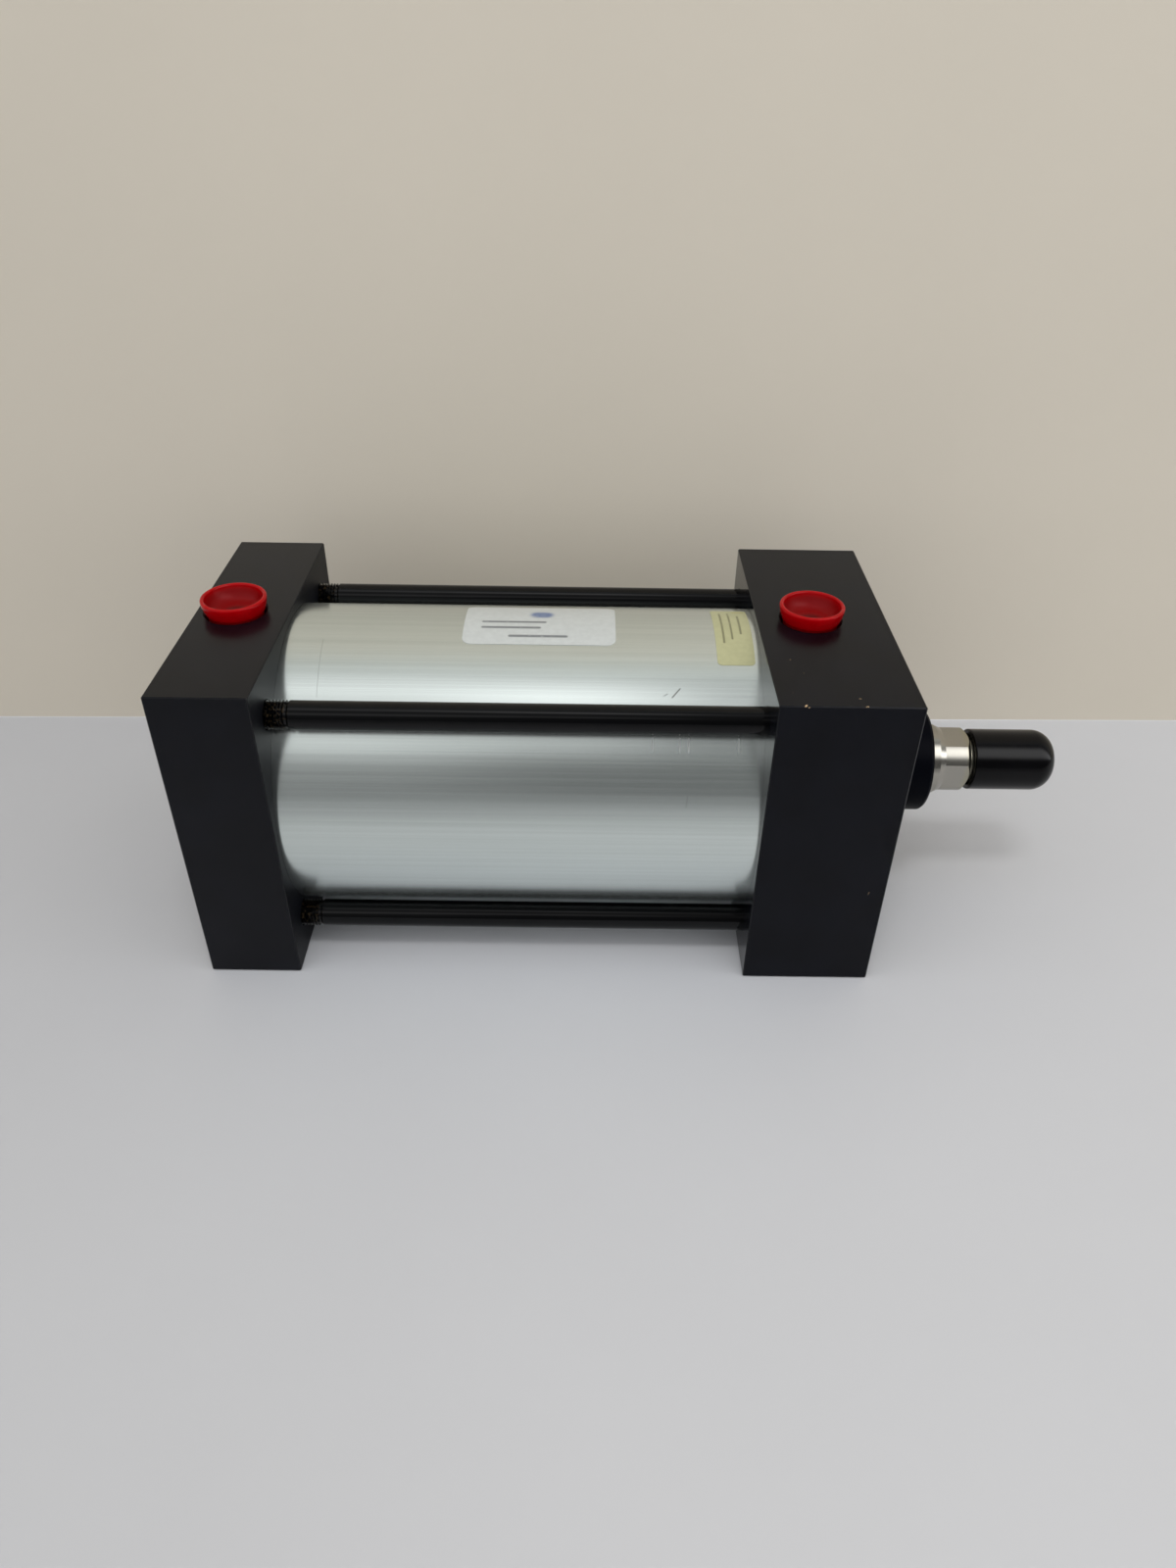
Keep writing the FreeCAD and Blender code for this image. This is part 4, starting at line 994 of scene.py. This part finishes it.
class CYLINDER_OT_piston_rod(bpy.types.Operator):
    """Turn the piston rod, mill its flats and cut the thread on its stud"""

    bl_idname = "cylinder.piston_rod"
    bl_label = "Piston rod"

    def execute(self, context):
        size = sizes()
        low, high = ROD_LOW.x, ROD_HIGH.x
        radius, neck, stud = size.rod_radius, size.neck_radius, size.stud_radius
        core = stud - size.stud_thread_depth
        tail, tail_end, chamfer = 3 / 8 * INCH, low + 32.15 * MM, 1.5 * MM
        neck_start = SHOULDER - size.neck_length
        bar = lathe("rod_bar", [
            (low, 0.0), (low, tail - 1 * MM), (low + 1 * MM, tail), (tail_end, tail), (tail_end, radius),
            (neck_start, radius), (neck_start + 2.2 * MM, neck), (SHOULDER - chamfer, neck),
            (SHOULDER, neck - chamfer), (SHOULDER, core), (high - 1.6 * MM, core), (high, core - 1.6 * MM),
            (high, 0.0),
        ], closed=False)
        blocks = []
        run, wide, reach, margin = size.rod_flats_length, 15 * MM, 3 * MM, 1 * MM
        out = (size.rod_flats + reach) / 2
        for side in range(4):
            turn = size.rod_flats_turn + side * math.pi / 2
            deselect_all()
            bpy.ops.mesh.primitive_cube_add(
                size=1.0, rotation=(turn, 0, 0), scale=(run + 2 * margin, wide, reach),
                location=(SHOULDER - run / 2 + margin, -out * math.sin(turn), out * math.cos(turn)))
            blocks.append(bpy.context.object)
        cutter = join(blocks, "flats_cutter")
        bpy.ops.object.transform_apply()
        apply_modifier(bar, "BOOLEAN", operation="DIFFERENCE", object=cutter, solver="EXACT")
        bpy.data.objects.remove(cutter)
        round_edges(bar, 0.12 * MM, segments=2, angle=18)
        ridge = thread_ridge("stud_thread", "X", core - 0.1 * MM, stud, size.stud_pitch,
                             SHOULDER + 2.6 * MM, high - 1.5 * MM, 64)
        piece = settle(join([bar, ridge], "rod_with_stud"), (0, 0, AXIS_HEIGHT), smooth=20)
        hand_over(piece, "rod_and_piston", "polished_rod", polished_rod_finish(), "piston_rod")
        return {"FINISHED"}


class CYLINDER_OT_thread_guard(bpy.types.Operator):
    """Turn the vinyl guard that covers the stud"""

    bl_idname = "cylinder.thread_guard"
    bl_label = "Thread guard"

    def execute(self, context):
        size = sizes()
        low, high = GUARD_LOW.x, GUARD_HIGH.x
        outer = GUARD_RADIUS
        inner = outer - size.guard_wall
        end, round_out, round_in = 1.4 * MM, 7.5 * MM, 4.5 * MM
        rim = 0.5 * MM
        stations = [(low, inner)] + arc(low + rim, outer - rim, rim, 180, 90, 5)
        stations += arc(high - round_out, outer - round_out, round_out, 90, 0, 20)
        stations += [(high, 0.0), (high - end, 0.0)]
        stations += arc(high - end - round_in, inner - round_in, round_in, 0, 90, 12)
        piece = lathe("guard_sleeve", stations)
        settle(piece, (0, 0, AXIS_HEIGHT), smooth=40)
        hand_over(piece, "thread_guard", "black_vinyl", vinyl_finish(), "thread_guard")
        return {"FINISHED"}


class CYLINDER_OT_port_plugs(bpy.types.Operator):
    """Turn the red plugs with their flared rims and dished floors"""

    bl_idname = "cylinder.port_plugs"
    bl_label = "Port plugs"

    def execute(self, context):
        rim, rim_top, lip = PLUG_RIM_RADIUS, PLUG_HIGH.z - TOP, 0.72 * MM
        # (out, up) in millimetres: the cup from the middle of its floor out to the rim, then the outside down
        cup = [(0.0, -0.72), (1.2, -0.70), (2.3, -0.50), (3.3, -0.20), (4.6, -0.02), (6.0, 0.12), (7.1, 0.45),
               (7.9, 1.05), (8.5, 1.85), (8.95, 2.8), (9.3, 3.8)]
        outside = [
            (10.95, 4.1), (10.88, 3.5), (10.76, 2.9), (10.60, 2.3), (10.42, 1.7), (10.22, 1.1), (10.02, 0.6),
            (9.86, 0.25), (9.55, 0.0), (9.38, -0.4), (9.25, -1.3), (8.75, -8.7), (8.45, -9.0), (7.75, -9.0),
            (7.55, -8.8), (7.40, -2.4), (6.6, -1.7), (0.0, -1.7)]
        stations = [(up * MM, out * MM) for out, up in cup]
        stations += arc(rim_top - lip, rim - lip, lip, -90, 90, 12)
        stations += [(up * MM, out * MM) for out, up in outside]
        first = settle(lathe("head_plug", stations, axis="Z"), (HEAD_PORT, 0, TOP), smooth=40)
        second = copied(first, "cap_plug", (CAP_PORT - HEAD_PORT, 0, 0))
        material = plug_finish()
        hand_over(first, "head_port_plug", "red_plastic", material, "head_port_plug")
        hand_over(second, "cap_port_plug", "red_plastic", material, "cap_port_plug")
        return {"FINISHED"}


class CYLINDER_OT_hole_threads(bpy.types.Operator):
    """Cut the threads in the two ports and in the four mounting holes"""

    bl_idname = "cylinder.hole_threads"
    bl_label = "Hole threads"

    def execute(self, context):
        size = sizes()
        port = settle(thread_ridge(
            "port_thread", "Z", size.port_radius + 0.05 * MM, size.port_radius - 0.5 * MM,
            size.port_pitch, -19.0 * MM, -1.1 * MM, 48))
        mount = settle(thread_ridge(
            "mount_thread", "Z", size.mount_radius + 0.04 * MM, size.mount_radius - 0.42 * MM,
            size.mount_pitch, 0.8 * MM, 17.5 * MM, 32))
        head, cap = frame_materials["head_block"], frame_materials["cap_block"]
        for name, across, material in (("head_port_thread", HEAD_PORT, head), ("cap_port_thread", CAP_PORT, cap)):
            hand_over(copied(port, name, (across, 0, TOP)), "housing", "black_anodised_block", material)
        middle, apart = MOUNT_HOLE_PLACE
        for name, across, material in (("head_mount_thread", middle, head), ("cap_mount_thread", -middle, cap)):
            for number, side in enumerate((-1, 1), 1):
                piece = copied(mount, f"{name}_{number}", (across, side * apart, 0))
                hand_over(piece, "housing", "black_anodised_block", material)
        for model in (port, mount):
            bpy.data.objects.remove(model)
        return {"FINISHED"}


# The finishes of the frame's nodes, which the threads in the blocks take too
frame_materials = {}


class CYLINDER_OT_frame_finishes(bpy.types.Operator):
    """Give the frame's own pieces their finishes"""

    bl_idname = "cylinder.frame_finishes"
    bl_label = "Frame finishes"

    def execute(self, context):
        front, top = HEAD_LOW.y / MM, TOP / MM
        chips = [
            ((86.9, front, top), (87.6, front + 0.7, top), 0.34, 1.0),
            ((88.2, front, top - 0.4), (88.5, front, top - 0.1), 0.26, 0.8),
            ((105.2, front, top), (105.9, front + 0.4, top), 0.30, 0.9),
            ((104.2, front + 4.9, top), (104.7, front + 4.8, top), 0.22, 0.6),
            ((86.5, front + 28.3, top), (86.8, front + 28.2, top), 0.16, 0.5),
            ((89.6, front + 19.7, top), (89.7, front + 19.9, top), 0.16, 0.6),
            ((84.4, front + 7.8, top), (84.6, front + 7.9, top), 0.15, 0.4),
            ((118.0, front, 40.0), (118.3, front, 41.0), 0.16, 0.4),
        ]
        finishes = (
            (block_finish("Black anodised head", HEAD_LOW, HEAD_HIGH, chips, 1.23, (HEAD_LOW.x, 0.12)),
             ["head_block"]),
            (block_finish("Black anodised cap", CAP_LOW, CAP_HIGH, [], 1.28, (CAP_HIGH.x, 0.50)), ["cap_block"]),
            (moulded_finish("Black rubber", (0.014, 0.014, 0.014), 0.5, 0.2),
             ["head_barrel_seal", "cap_barrel_seal", "gland_seal", "piston_hub_seal"]),
            (moulded_finish("Seal urethane", (0.030, 0.030, 0.034), 0.38, 0.15),
             ["rod_seal", "rod_wiper", "piston_seal_rear", "piston_seal_front"]),
            (moulded_finish("Wear band plastic", (0.05, 0.17, 0.12), 0.5, 0.3), ["wear_band"]),
            (moulded_finish("Magnet strip", (0.05, 0.05, 0.05), 0.6, 0.3), ["magnet_ring"]),
            (worked_metal_finish("Black oxide hardware", (0.020, 0.020, 0.022), 0.42, 18000.0, metallic=0.3),
             ["tie_rod_washers", "tie_rod_nuts"]),
            (worked_metal_finish("Bearing bronze", (0.56, 0.35, 0.15), 0.34, 24000.0), ["rod_bushing"]),
            (worked_metal_finish("Spring steel", (0.12, 0.12, 0.125), 0.38, 12000.0), ["gland_retaining_ring"]),
            (worked_metal_finish("Machined aluminium", (0.70, 0.71, 0.72), 0.3, 21000.0, dull=0.8), ["piston"]),
            (worked_metal_finish("Zinc plated steel", (0.55, 0.55, 0.57), 0.32, 15000.0, dull=0.75),
             ["piston_nut"]),
        )
        for material, labels in finishes:
            for label in labels:
                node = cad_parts[label]
                if not node.material_slots:
                    node.data.materials.append(material)
                for slot in node.material_slots:
                    slot.material = material
                frame_materials[label] = material
        return {"FINISHED"}


STEPS = [
    CYLINDER_OT_stage, CYLINDER_OT_frame_finishes, CYLINDER_OT_barrel, CYLINDER_OT_labels, CYLINDER_OT_tie_rods,
    CYLINDER_OT_gland, CYLINDER_OT_piston_rod, CYLINDER_OT_thread_guard, CYLINDER_OT_port_plugs,
    CYLINDER_OT_hole_threads,
]


class CYLINDER_PT_panel(bpy.types.Panel):
    """Sizes, colours and steps of the air cylinder"""

    bl_idname = "CYLINDER_PT_panel"
    bl_label = "Air cylinder"
    bl_space_type = "VIEW_3D"
    bl_region_type = "UI"
    bl_category = "Air cylinder"

    def draw(self, context):
        scene = context.scene
        for settings in (scene.cylinder_sizes, scene.cylinder_colours, scene.stage_settings):
            column = self.layout.column(align=True)
            for key in settings.__annotations__:
                column.prop(settings, key)
        for step in STEPS:
            self.layout.operator(step.bl_idname)


CLASSES = [CylinderSizes, CylinderColours, StageSettings, *STEPS, CYLINDER_PT_panel]


def register():
    for each in CLASSES:
        bpy.utils.register_class(each)
    bpy.types.Scene.cylinder_sizes = PointerProperty(type=CylinderSizes)
    bpy.types.Scene.cylinder_colours = PointerProperty(type=CylinderColours)
    bpy.types.Scene.stage_settings = PointerProperty(type=StageSettings)


def unregister():
    del bpy.types.Scene.cylinder_sizes
    del bpy.types.Scene.cylinder_colours
    del bpy.types.Scene.stage_settings
    for each in reversed(CLASSES):
        bpy.utils.unregister_class(each)


def main():
    register()
    bpy.context.scene.view_settings.view_transform = "Standard"
    for step in STEPS:
        group, name = step.bl_idname.split(".")
        getattr(getattr(bpy.ops, group), name)()
    deselect_all()


if __name__ == "__main__":
    main()
